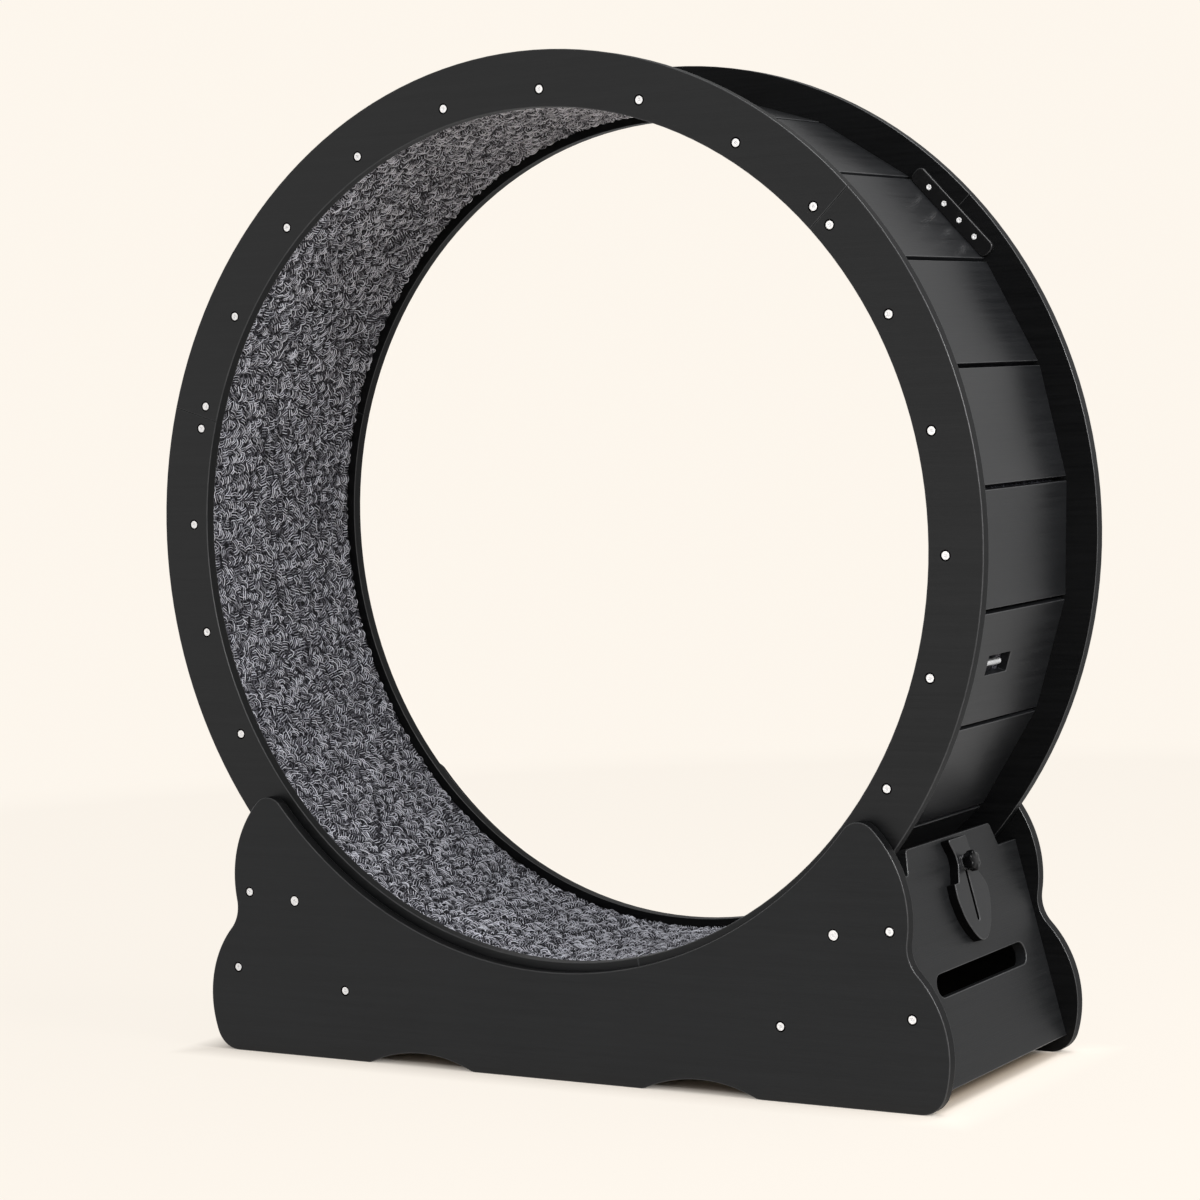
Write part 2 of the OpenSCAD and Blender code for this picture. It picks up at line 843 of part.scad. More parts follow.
// The latch plate hangs on the latch bolt by a slot that lets it slide up the slant
module latch_plate() {
    slot_w = bolt_d + 2 * latch_play;
    slot_l = latch_stroke + 2 * latch_end_play + bolt_d + 2 * latch_play;
    slot_top = bolt_d / 2 + latch_play + latch_end_play;
    outline = rounded([
        for (p = latch_outline_shares) [p[0] * latch_w, p[1] * latch_l, p[2] * latch_w]
    ]);
    color(board_edge)
        on_slant()
            difference() {
                translate([0, 0, latch_top_s])
                    slant_plate(latch_gap, latch_gap + latch_t, outline);
                translate([0, 0, latch_bolt_s + slot_top - slot_l / 2])
                    slant_plate(
                        latch_gap - overrun,
                        latch_gap + latch_t + overrun,
                        [for (p = stadium(slot_l, slot_w)) [-p[1], p[0]]]
                    );
            }
}

module latch_washer() {
    color(steel)
        at_latch_bolt()
            translate([0, 0, knob_washer_h])
                collar(knob_washer_t, knob_washer_d);
}

// Outline of the knob's head: a circle with one soft wave for each lobe
function knob_outline() =
    let (count = knob_lobes * lobe_points)
    [
        for (i = [0:count - 1])
            let (wave = (1 + cos(360 * i / lobe_points)) / 2)
            (knob_d / 2 - knob_hollow * (1 - wave)) * unit(360 * i / count)
    ];

module latch_knob() {
    color(black_plastic)
        at_latch_bolt()
            translate([0, 0, knob_h])
                difference() {
                    union() {
                        cylinder(h = knob_neck_h + overrun, d = knob_neck_d);
                        translate([0, 0, knob_neck_h])
                            linear_extrude(knob_head_h)
                                polygon(knob_outline());
                        translate([0, 0, knob_neck_h + knob_head_h - overrun])
                            cylinder(h = knob_crown_h + overrun, d = knob_neck_d);
                    }
                    translate([0, 0, -overrun])
                        cylinder(
                            h = latch_bolt_h - knob_h + overrun + spin_gap,
                            r = bolt_d / 2 + shaft_play
                        );
                }
}

for (i = [0:ring_parts - 1]) {
    color(board) ring_segment(i);
    color(board) on_side("rear") ring_segment(i);
}
for (i = [0:tread_count - 1])
    tread(i);
carpet_liner();
strike_pins();
joint_plates();  // front_joint_plates
on_side("rear") joint_plates();  // rear_joint_plates
plate_screws();
ring_screws();  // front_ring_screws
on_side("rear") ring_screws();  // rear_ring_screws
side_panel();  // front_panel
on_side("rear") side_panel();  // rear_panel
end_panel("left");  // left_end_panel
end_panel("right");  // right_end_panel
brace("left");  // left_brace
brace("right");  // right_brace
base_screws();
roller_bolts();
roller_washers();
roller_nuts();
for (i = [0:3]) {
    roller(i);
    roller_bearings(i);
}
latch_bolt();
latch_plate();
latch_washer();
latch_knob();
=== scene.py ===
"""Looks of a cat exercise wheel: painted boards, looped carpet, bright screws and a slide latch.

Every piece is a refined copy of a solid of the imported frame, or is modelled over it, in metres and
in the frame's own coordinates: the floor is z = 0, the wheel turns about Y and the latch is at +X.
"""

import json
import logging
import math
import random
from dataclasses import dataclass, field, replace
from enum import Enum
from typing import Callable

import bpy
import numpy as np
from mathutils import Matrix, Vector

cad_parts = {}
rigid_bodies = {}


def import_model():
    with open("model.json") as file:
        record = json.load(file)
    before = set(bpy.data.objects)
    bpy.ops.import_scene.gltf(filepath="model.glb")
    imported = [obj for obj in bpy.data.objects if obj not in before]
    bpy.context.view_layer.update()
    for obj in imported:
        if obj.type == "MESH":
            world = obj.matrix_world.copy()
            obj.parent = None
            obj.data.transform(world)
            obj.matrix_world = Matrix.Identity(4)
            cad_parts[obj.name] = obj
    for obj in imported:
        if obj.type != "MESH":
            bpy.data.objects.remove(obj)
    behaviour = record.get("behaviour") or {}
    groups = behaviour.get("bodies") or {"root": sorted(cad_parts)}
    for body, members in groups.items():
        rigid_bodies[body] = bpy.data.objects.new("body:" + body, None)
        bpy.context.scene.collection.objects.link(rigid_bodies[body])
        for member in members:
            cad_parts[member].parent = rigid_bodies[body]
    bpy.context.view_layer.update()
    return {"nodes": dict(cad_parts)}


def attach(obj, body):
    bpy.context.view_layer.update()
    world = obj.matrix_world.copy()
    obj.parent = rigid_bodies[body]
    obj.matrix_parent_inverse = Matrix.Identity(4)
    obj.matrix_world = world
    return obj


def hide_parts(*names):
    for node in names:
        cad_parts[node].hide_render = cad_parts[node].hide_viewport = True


logging.basicConfig(level=logging.INFO, format="%(name)s: %(message)s")
LOG = logging.getLogger("cat_wheel")

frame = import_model()

Colour = tuple[float, float, float]
Span = tuple[float, float]
Piece = bpy.types.Object
Socket = bpy.types.NodeSocket
Material = bpy.types.Material
EdgeRule = Callable[[Vector, Vector], bool]
FaceRule = Callable[[Vector, Vector], bool]

AXLE = Vector((0.0, 0.0, 0.676))
SIDES = ("front", "rear")

# Two places closer than NEAR are one place. A normal with less than SQUARE of its length along a
# direction stands square to it. With more than FACING of its length along it, it faces that way.
NEAR = 1e-4
SQUARE = 0.1
FACING = 0.9

MERGE_DISTANCE = 1e-5
FLAT_ANGLE = math.radians(0.4)
SHARP_ANGLE = math.radians(38)
SMOOTH_ANGLE = math.radians(36)
HOLE_CHAMFER = 0.0014


# Mesh helpers


def select_only(piece: Piece) -> None:
    """Selects one object and makes it active.

    Args:
        piece: The object.
    """
    bpy.ops.object.select_all(action="DESELECT")
    piece.select_set(True)
    bpy.context.view_layer.objects.active = piece


def copy_of_node(node: str, name: str) -> Piece:
    """Copies a solid of the frame and merges its loose triangles into flat faces.

    Args:
        node: Name of the frame's solid.
        name: Name of the new piece.

    Returns:
        The new piece, with no material and no parent.
    """
    select_only(frame["nodes"][node])
    bpy.ops.object.duplicate()
    piece = bpy.context.active_object
    piece.name = piece.data.name = name
    bpy.ops.object.parent_clear(type="CLEAR")
    for key in list(piece.keys()):
        del piece[key]
    piece.data.materials.clear()
    bpy.ops.object.mode_set(mode="EDIT")
    bpy.ops.mesh.select_all(action="SELECT")
    bpy.ops.mesh.remove_doubles(threshold=MERGE_DISTANCE)
    bpy.ops.mesh.dissolve_limited(angle_limit=FLAT_ANGLE)
    bpy.ops.object.mode_set(mode="OBJECT")
    return piece


def round_edges(
    piece: Piece, rule: EdgeRule, radius: float, segments: int = 3, slot: int = 1
) -> int:
    """Rounds the sharp edges that a rule picks.

    Args:
        piece: The piece to round.
        rule: Says for the two ends of a sharp edge whether it is rounded.
        radius: Width of the rounding.
        segments: Number of faces across the rounding.
        slot: Material slot of the rounding.

    Returns:
        The number of edges that were rounded.
    """
    select_only(piece)
    bpy.ops.object.mode_set(mode="EDIT")
    bpy.ops.mesh.select_mode(type="EDGE")
    bpy.ops.mesh.select_all(action="DESELECT")
    bpy.ops.mesh.edges_select_sharp(sharpness=SHARP_ANGLE)
    bpy.ops.object.mode_set(mode="OBJECT")
    points = piece.data.vertices
    picked = 0
    for edge in piece.data.edges:
        if edge.select:
            edge.select = rule(points[edge.vertices[0]].co, points[edge.vertices[1]].co)
            picked += edge.select
    piece.data.polygons.foreach_set("select", [False] * len(piece.data.polygons))
    bpy.ops.object.mode_set(mode="EDIT")
    if picked:
        bpy.ops.mesh.bevel(
            offset=radius,
            offset_type="OFFSET",
            segments=segments,
            profile=0.5,
            affect="EDGES",
            clamp_overlap=False,
            material=slot,
        )
    bpy.ops.object.mode_set(mode="OBJECT")
    return picked


def smooth(piece: Piece) -> None:
    """Smooths the rounded faces and keeps the flat ones flat.

    Args:
        piece: The piece to smooth.
    """
    select_only(piece)
    bpy.ops.object.shade_smooth_by_angle(angle=SMOOTH_ANGLE)
    weighted = piece.modifiers.new("flat faces", "WEIGHTED_NORMAL")
    weighted.keep_sharp = True
    bpy.ops.object.modifier_apply(modifier=weighted.name)


def dress(piece: Piece, *materials: Material) -> Piece:
    """Puts materials into the slots of a piece, in order.

    Args:
        piece: The piece to dress.
        materials: The materials.

    Returns:
        The piece.
    """
    piece.data.materials.clear()
    for material in materials:
        piece.data.materials.append(material)
    return piece


def axle_distance(point: Vector) -> float:
    """Distance of a point from the axis of the wheel."""
    return math.hypot(point.x, point.z - AXLE.z)


def at_depth(depth: float, *points: Vector) -> bool:
    """Tells whether all points lie at one distance from the middle plane of the wheel."""
    return all(abs(abs(point.y) - depth) < NEAR for point in points)


# Shader helpers and the effects that several finishes share


class Graph:
    """The nodes and links of a material or of a node group."""

    def __init__(self, tree: bpy.types.NodeTree) -> None:
        """Starts on an empty tree."""
        self.tree = tree
        self.tree.nodes.clear()

    def add(self, kind: str, inputs: dict | None = None, **settings: object) -> bpy.types.Node:
        """Adds a node.

        Args:
            kind: Type of the node.
            inputs: Values of its sockets, and sockets of other nodes that are linked to them.
            settings: Values of its properties.

        Returns:
            The new node.
        """
        node = self.tree.nodes.new(kind)
        for name, value in settings.items():
            setattr(node, name, value)
        for key, value in (inputs or {}).items():
            if isinstance(value, Socket):
                self.tree.links.new(value, node.inputs[key])
            else:
                node.inputs[key].default_value = value
        return node

    def math(self, operation: str, first: object, second: object = 0.0) -> Socket:
        """Adds a Math node and returns its result."""
        return self.add("ShaderNodeMath", {0: first, 1: second}, operation=operation).outputs[0]

    def ranged(
        self, value: Socket, span: Span, target: Span = (0.0, 1.0), **settings: object
    ) -> Socket:
        """Maps a value from one range to another, clamped.

        Args:
            value: The value.
            span: Range that it comes from.
            target: Range that it goes to.
            settings: Values of the node's properties.

        Returns:
            The mapped value.
        """
        inputs = {
            "Value": value,
            "From Min": span[0],
            "From Max": span[1],
            "To Min": target[0],
            "To Max": target[1],
        }
        return self.add("ShaderNodeMapRange", inputs, **settings).outputs["Result"]

    def noise(self, vector: Socket, scale: object, detail: float, roughness: float = 0.5) -> Socket:
        """Adds a Noise Texture node and returns its value."""
        inputs = {"Vector": vector, "Scale": scale, "Detail": detail, "Roughness": roughness}
        return self.add("ShaderNodeTexNoise", inputs).outputs[0]

    def bump(self, height: Socket, strength: float, distance: float) -> Socket:
        """Adds a Bump node and returns its normal."""
        inputs = {"Strength": strength, "Distance": distance, "Height": height}
        return self.add("ShaderNodeBump", inputs).outputs[0]

    def stretch(self, vector: Socket, factors: tuple[float, float, float]) -> Socket:
        """Scales a vector along each axis and returns the result."""
        inputs = {0: vector, 1: factors}
        return self.add("ShaderNodeVectorMath", inputs, operation="MULTIPLY").outputs[0]

    def weigh(self, first: Socket, second: Socket, share: float) -> Socket:
        """Mixes two values, the first by its share and the second by the rest of one."""
        weighed = self.math("MULTIPLY", first, share)
        return self.math("ADD", weighed, self.math("MULTIPLY", second, 1.0 - share))

    def blend(self, factor: object, dark: object, light: object) -> Socket:
        """Blends two colours.

        Args:
            factor: Share of the light colour.
            dark: The dark colour, or a socket that gives it.
            light: The light colour, or a socket that gives it.

        Returns:
            The blended colour.
        """
        node = self.add("ShaderNodeMix", data_type="RGBA")
        for index, value in ((0, factor), (6, dark), (7, light)):
            if isinstance(value, Socket):
                self.tree.links.new(value, node.inputs[index])
            elif index:
                node.inputs[index].default_value = (*value, 1.0)
            else:
                node.inputs[index].default_value = value
        return node.outputs[2]


def new_group(
    name: str, inputs: dict[str, str], outputs: dict[str, str]
) -> tuple[bpy.types.NodeTree, Graph]:
    """Makes an empty node group with named sockets.

    Args:
        name: Name of the effect.
        inputs: Socket type of each input.
        outputs: Socket type of each output.

    Returns:
        The group and the graph to fill it with.
    """
    group = bpy.data.node_groups.new(name, "ShaderNodeTree")
    for direction, sockets in (("INPUT", inputs), ("OUTPUT", outputs)):
        for socket, kind in sockets.items():
            group.interface.new_socket(name=socket, in_out=direction, socket_type=kind)
    return group, Graph(group)


class Effect(Enum):
    """The shared surface effects."""

    GRAIN = "wood grain under paint"
    WEAR = "rubbed edges"
    BRUSHED = "brushed metal"
    PILE = "curly pile"


FLOAT, VECTOR = "NodeSocketFloat", "NodeSocketVector"
# The parts of a noise's values that most of its places lie in
NOISE_CORE = (0.35, 0.65)
NOISE_SPAN = (0.3, 0.7)


def build_grain() -> bpy.types.NodeTree:
    """Long streaks, fine fibres and soft clouds of a painted board, along the X of its vector.

    Returns:
        The node group.
    """
    outputs = {"Shade": FLOAT, "Height": FLOAT, "Cloud": FLOAT}
    group, graph = new_group(Effect.GRAIN.value, {"Vector": VECTOR}, outputs)
    vector = graph.add("NodeGroupInput").outputs["Vector"]
    streaks = graph.noise(graph.stretch(vector, (3.5, 190.0, 190.0)), scale=1.0, detail=5.0)
    fibres = graph.noise(graph.stretch(vector, (22.0, 800.0, 800.0)), scale=1.0, detail=3.0)
    clouds = graph.noise(vector, scale=5.0, detail=2.0)
    mixed = graph.weigh(streaks, fibres, share=0.55)
    shade = graph.ranged(mixed, span=(0.33, 0.67))
    height = graph.math("ADD", mixed, fibres)
    cloud = graph.ranged(clouds, NOISE_CORE)
    graph.add("NodeGroupOutput", {"Shade": shade, "Height": height, "Cloud": cloud})
    return group


def build_wear() -> bpy.types.NodeTree:
    """Broken patches where hands and tools have rubbed the paint.

    Returns:
        The node group.
    """
    inputs = {"Vector": VECTOR, "Amount": FLOAT}
    group, graph = new_group(Effect.WEAR.value, inputs, {"Mask": FLOAT})
    source = graph.add("NodeGroupInput")
    vector, amount = source.outputs["Vector"], source.outputs["Amount"]
    broad = graph.noise(vector, scale=38.0, detail=6.0, roughness=0.65)
    fine = graph.noise(vector, scale=420.0, detail=3.0)
    mixed = graph.weigh(broad, fine, share=0.7)
    lifted = graph.math("ADD", mixed, graph.math("MULTIPLY", amount, 0.25))
    graph.add("NodeGroupOutput", {"Mask": graph.ranged(lifted, span=(0.55, 0.72))})
    return group


def build_brushed() -> bpy.types.NodeTree:
    """Fine scratches and a light haze on metal.

    Returns:
        The node group.
    """
    inputs = {"Vector": VECTOR, "Scratch Scale": FLOAT}
    group, graph = new_group(Effect.BRUSHED.value, inputs, {"Haze": FLOAT, "Height": FLOAT})
    source = graph.add("NodeGroupInput")
    vector, scale = source.outputs["Vector"], source.outputs["Scratch Scale"]
    scratch = graph.noise(graph.stretch(vector, (1.0, 1.0, 9.0)), scale=scale, detail=4.0)
    haze = graph.noise(vector, scale=260.0, detail=2.0)
    graph.add("NodeGroupOutput", {"Haze": haze, "Height": scratch})
    return group


def build_pile() -> bpy.types.NodeTree:
    """Curly threads that follow the level lines of a soft field.

    Returns:
        The node group.
    """
    outputs = {"Thread": FLOAT, "Clump": FLOAT}
    group, graph = new_group(Effect.PILE.value, {"Vector": VECTOR}, outputs)
    vector = graph.add("NodeGroupInput").outputs["Vector"]
    soft = graph.noise(vector, scale=62.0, detail=1.2)
    levels = graph.math("FRACT", graph.math("MULTIPLY", soft, 8.0))
    off_middle = graph.math("ABSOLUTE", graph.math("SUBTRACT", levels, 0.5))
    thread = graph.ranged(off_middle, span=(0.08, 0.26), target=(1.0, 0.0))
    clump = graph.ranged(graph.noise(vector, scale=30.0, detail=3.0), span=(0.36, 0.64))
    graph.add("NodeGroupOutput", {"Thread": thread, "Clump": clump})
    return group


EFFECTS: dict[Effect, bpy.types.NodeTree] = {}


def add_effect(
    graph: Graph, kind: Effect, inputs: dict[str, object]
) -> bpy.types.bpy_prop_collection:
    """Places a shared effect in a material, and builds it at its first use.

    Args:
        graph: Graph of the material.
        kind: The effect.
        inputs: Values of its inputs, and sockets that are linked to them.

    Returns:
        Its outputs, by name.
    """
    builders = {
        Effect.GRAIN: build_grain,
        Effect.WEAR: build_wear,
        Effect.BRUSHED: build_brushed,
        Effect.PILE: build_pile,
    }
    if kind not in EFFECTS:
        EFFECTS[kind] = builders[kind]()
    return graph.add("ShaderNodeGroup", inputs, node_tree=EFFECTS[kind]).outputs


# Finishes


class Along(Enum):
    """Direction of a board's grain, as the turn that brings it onto X."""

    X = (0.0, 0.0, 0.0)
    Y = (0.0, 0.0, math.pi / 2)


def start_material(name: str) -> tuple[Material, Graph, Socket]:
    """Makes a material with an empty graph.

    Args:
        name: Name of the material.

    Returns:
        The material, its graph and the object coordinates.
    """
    material = bpy.data.materials.new(name)
    material.use_nodes = True
    graph = Graph(material.node_tree)
    place = graph.add("ShaderNodeTexCoord").outputs["Object"]
    return material, graph, place


@dataclass(frozen=True)
class Finish:
    """What every finish has: a name, and a material that its surface is shown with."""

    name: str

    def surface(self, graph: Graph, place: Socket) -> dict[str, object]:
        """Adds the nodes of the surface.

        Args:
            graph: Graph of the material.
            place: Object coordinates.

        Returns:
            The values and sockets for the inputs of the Principled shader.
        """
        raise NotImplementedError

    def material(self) -> Material:
        """Builds the material.

        Returns:
            The material.
        """
        material, graph, place = start_material(self.name)
        shader = graph.add("ShaderNodeBsdfPrincipled", self.surface(graph, place))
        graph.add("ShaderNodeOutputMaterial", {"Surface": shader.outputs["BSDF"]})
        return material


COATED_IOR = 1.5


@dataclass(frozen=True)
class BoardFinish(Finish):
    """Black paint on a wood board, with the grain showing through."""

    dark: Colour
    light: Colour
    roughness: Span
    grain: Along = Along.X
    streak_share: float = 0.7
    uneven_span: Span = (0.2, 1.8)
    bump: float = 0.2
    relief: float = 0.0004
    wear: float = 0.0
    worn: Colour = (0.05, 0.05, 0.052)
    gloss: float = 0.4

    def surface(self, graph: Graph, place: Socket) -> dict[str, object]:
        """Adds the nodes of the surface.

        Args:
            graph: Graph of the material.
            place: Object coordinates.

        Returns:
            The values and sockets for the inputs of the Principled shader.
        """
        turned = graph.add("ShaderNodeMapping", {"Vector": place, "Rotation": self.grain.value})
        grain = add_effect(graph, Effect.GRAIN, {"Vector": turned.outputs[0]})
        wear = add_effect(graph, Effect.WEAR, {"Vector": place, "Amount": self.wear})
        shade = graph.weigh(grain["Shade"], grain["Cloud"], self.streak_share)
        rubbed = graph.math("MULTIPLY", wear["Mask"], self.wear)
        uneven = graph.math("ADD", grain["Shade"], grain["Cloud"])
        return {
            "IOR": COATED_IOR,
            "Specular IOR Level": self.gloss,
            "Base Color": graph.blend(rubbed, graph.blend(shade, self.dark, self.light), self.worn),
            "Roughness": graph.ranged(uneven, self.uneven_span, self.roughness),
            "Normal": graph.bump(grain["Height"], self.bump, self.relief),
        }


@dataclass(frozen=True)
class MetalFinish(Finish):
    """Bright steel with fine scratches."""

    tint: Colour
    roughness: Span
    scratch_scale: float = 900.0
    metallic: float = 1.0
    haze_share: float = 0.86
    bump: float = 0.1
    relief: float = 0.0002

    def surface(self, graph: Graph, place: Socket) -> dict[str, object]:
        """Adds the nodes of the surface.

        Args:
            graph: Graph of the material.
            place: Object coordinates.

        Returns:
            The values and sockets for the inputs of the Principled shader.
        """
        inputs = {"Vector": place, "Scratch Scale": self.scratch_scale}
        brushed = add_effect(graph, Effect.BRUSHED, inputs)
        hazy = tuple(self.haze_share * part for part in self.tint)
        return {
            "Metallic": self.metallic,
            "Base Color": graph.blend(graph.ranged(brushed["Haze"], NOISE_CORE), hazy, self.tint),
            "Roughness": graph.ranged(brushed["Haze"], NOISE_SPAN, self.roughness),
            "Normal": graph.bump(brushed["Height"], self.bump, self.relief),
        }


@dataclass(frozen=True)
class MouldedFinish(Finish):
    """Moulded black plastic or rubber with a fine texture and handling marks."""

    dark: Colour
    light: Colour
    roughness: Span
    texture_scale: float = 1400.0
    wear: float = 0.2
    bump: float = 0.15
    relief: float = 0.0002
    gloss: float = 0.5

    def surface(self, graph: Graph, place: Socket) -> dict[str, object]:
        """Adds the nodes of the surface.

        Args:
            graph: Graph of the material.
            place: Object coordinates.

        Returns:
            The values and sockets for the inputs of the Principled shader.
        """
        skin = graph.noise(place, self.texture_scale, detail=2.0)
        wear = add_effect(graph, Effect.WEAR, {"Vector": place, "Amount": self.wear})
        marks = graph.math("MULTIPLY", wear["Mask"], skin)
        return {
            "IOR": COATED_IOR,
            "Specular IOR Level": self.gloss,
            "Base Color": graph.blend(marks, self.dark, self.light),
            "Roughness": graph.ranged(wear["Mask"], (0.0, 1.0), self.roughness),
            "Normal": graph.bump(skin, self.bump, self.relief),
        }


@dataclass(frozen=True)
class BackingFinish(Finish):
    """Felted ground of the carpet, full of flattened threads."""

    dark: Colour
    light: Colour
    roughness: Span = (0.86, 1.0)
    clump_tone: Span = (0.6, 1.0)
    fuzz_scale: float = 1500.0
    fuzz_share: float = 0.35
    bump: float = 0.9
    relief: float = 0.002
    gloss: float = 0.2

    def surface(self, graph: Graph, place: Socket) -> dict[str, object]:
        """Adds the nodes of the surface.

        Args:
            graph: Graph of the material.
            place: Object coordinates.

        Returns:
            The values and sockets for the inputs of the Principled shader.
        """
        pile = add_effect(graph, Effect.PILE, {"Vector": place})
        fuzz = graph.noise(place, self.fuzz_scale, detail=3.0)
        clumps = graph.ranged(pile["Clump"], (0.0, 1.0), self.clump_tone)
        threads = graph.math("MULTIPLY", pile["Thread"], clumps)
        fuzz_height = graph.math("MULTIPLY", fuzz, self.fuzz_share)
        return {
            "Specular IOR Level": self.gloss,
            "Base Color": graph.blend(threads, self.dark, self.light),
            "Roughness": graph.ranged(fuzz, NOISE_SPAN, self.roughness),
            "Normal": graph.bump(graph.math("ADD", threads, fuzz_height), self.bump, self.relief),
        }


@dataclass(frozen=True)
class YarnFinish(Finish):
    """Grey yarn whose tone changes from thread to thread, by the tone attribute."""

    dark: Colour
    light: Colour
    roughness: Span = (0.8, 0.98)
    ply_tone: Span = (-0.3, 0.3)
    fuzz_scale: float = 620.0
    bump: float = 0.5
    relief: float = 0.0006
    gloss: float = 0.3

    def surface(self, graph: Graph, place: Socket) -> dict[str, object]:
        """Adds the nodes of the surface.

        Args:
            graph: Graph of the material.
            place: Object coordinates.

        Returns:
            The values and sockets for the inputs of the Principled shader.
        """
        tone = graph.add("ShaderNodeAttribute", attribute_name="tone").outputs["Fac"]
        fuzz = graph.noise(place, self.fuzz_scale, detail=2.0)
        shade = graph.math("ADD", tone, graph.ranged(fuzz, NOISE_SPAN, self.ply_tone))
        return {
            "Specular IOR Level": self.gloss,
            "Base Color": graph.blend(shade, self.dark, self.light),
            "Roughness": graph.ranged(fuzz, NOISE_SPAN, self.roughness),
            "Normal": graph.bump(fuzz, self.bump, self.relief),
        }


RING_BOARD = BoardFinish(
    "ring board", (0.0032, 0.0034, 0.0037), (0.0082, 0.0086, 0.0092), (0.36, 0.46), gloss=0.39
)
PANEL_BOARD = BoardFinish(
    "panel board", (0.0024, 0.0027, 0.0032), (0.0070, 0.0077, 0.0087), (0.36, 0.46), gloss=0.38
)
CROSS_BOARD = BoardFinish(
    "cross board",
    (0.0045, 0.0048, 0.0054),
    (0.0100, 0.0105, 0.0114),
    (0.32, 0.42),
    grain=Along.Y,
    gloss=0.36,
)
LATCH_BOARD = replace(CROSS_BOARD, name="latch board", gloss=0.25)
END_BOARD = BoardFinish(
    "end board",
    (0.0050, 0.0053, 0.0058),
    (0.0110, 0.0115, 0.0122),
    (0.34, 0.44),
    grain=Along.Y,
    bump=0.3,
    gloss=0.15,
)
# Lighter and glossier than the boards: a painted highlight along the rounded edges, with patches of
# rubbed paint on it
BOARD_EDGE_HIGHLIGHT = BoardFinish(
    "rounded board edge painted highlight",
    (0.014, 0.0145, 0.0155),
    (0.026, 0.027, 0.0285),
    (0.30, 0.42),
    bump=0.06,
    wear=0.4,
    gloss=0.55,
)
# Cut faces and faces towards the wheel, darker and duller than the boards: painted shade where the
# wheel keeps the light off
INNER_BOARD_PAINTED_SHADE = BoardFinish(
    "inner board painted shade", (0.0022, 0.0023, 0.0025), (0.0058, 0.0060, 0.0064), (0.40, 0.52), gloss=0.10
)
# Near black: painted shade in the gaps around the screw heads, and on the latch plate's cut sides
HOLE_SHADE = BoardFinish(
    "screw hole painted shade",
    (0.0010, 0.0010, 0.0011),
    (0.0022, 0.0022, 0.0024),
    (0.75, 0.95),
    bump=0.05,
    gloss=0.05,
)
BRIGHT_STEEL = MetalFinish("bright screw steel", (0.90, 0.90, 0.91), (0.28, 0.42))
ZINC_STEEL = MetalFinish("zinc plated screw", (0.97, 0.97, 0.98), (0.30, 0.45), metallic=0.2)
BEARING_STEEL = MetalFinish("bearing steel", (0.62, 0.62, 0.64), (0.18, 0.34), scratch_scale=1600.0)
PLATE_PLASTIC = MouldedFinish(
    "joint plate plastic",
    (0.0045, 0.0045, 0.0048),
    (0.011, 0.011, 0.0115),
    (0.34, 0.48),
    gloss=0.28,
)
# Lighter than the plates: a painted highlight along their rounded edges
PLATE_EDGE_HIGHLIGHT = MouldedFinish(
    "joint plate edge painted highlight", (0.011, 0.011, 0.0115), (0.024, 0.024, 0.025), (0.26, 0.4)
)
KNOB_PLASTIC = MouldedFinish(
    "knob plastic",
    (0.002, 0.002, 0.0022),
    (0.005, 0.005, 0.0055),
    (0.03, 0.06),
    bump=0.01,
    gloss=0.14,
)
ROLLER_RUBBER = MouldedFinish(
    "roller rubber", (0.012, 0.012, 0.012), (0.03, 0.03, 0.03), (0.62, 0.82), bump=0.3
)
CARPET_GROUND = BackingFinish("carpet ground", (0.005, 0.005, 0.007), (0.10, 0.10, 0.12))
CARPET_YARN = YarnFinish("carpet yarn", (0.014, 0.014, 0.020), (0.68, 0.69, 0.76))
THREAD_TONES = (0.22, 0.42, 0.6, 0.8, 1.1)

MATERIALS: dict[str, Material] = {}


def finish_of(finish: Finish) -> Material:
    """Gives the material of a finish, built at its first use.

    Args:
        finish: The finish.

    Returns:
        Its material.
    """
    if finish.name not in MATERIALS:
        MATERIALS[finish.name] = finish.material()
    return MATERIALS[finish.name]


# Sub-assemblies


@dataclass(frozen=True)
class Slant:
    """The outer faces of the two end panels, which lean in, and the latch bolt on one of them."""

    foot_x: float = 0.5335
    tilt: float = math.radians(14)
    bolt_s: float = 0.2723

    def out(self) -> Vector:
        """Direction away from the face on the side of the latch."""
        return Vector((math.cos(self.tilt), 0.0, math.sin(self.tilt)))

    def up(self) -> Vector:
        """Direction up the face on the side of the latch."""
        return Vector((-math.sin(self.tilt), 0.0, math.cos(self.tilt)))

    def height(self, point: Vector) -> float:
        """Height of a point over the face on its side."""
        beyond = abs(point.x) - self.foot_x
        return beyond * math.cos(self.tilt) + point.z * math.sin(self.tilt)

    def along(self, point: Vector) -> float:
        """Place of a point up the face on its side, from the floor."""
        beyond = abs(point.x) - self.foot_x
        return point.z * math.cos(self.tilt) - beyond * math.sin(self.tilt)


SLANT = Slant()


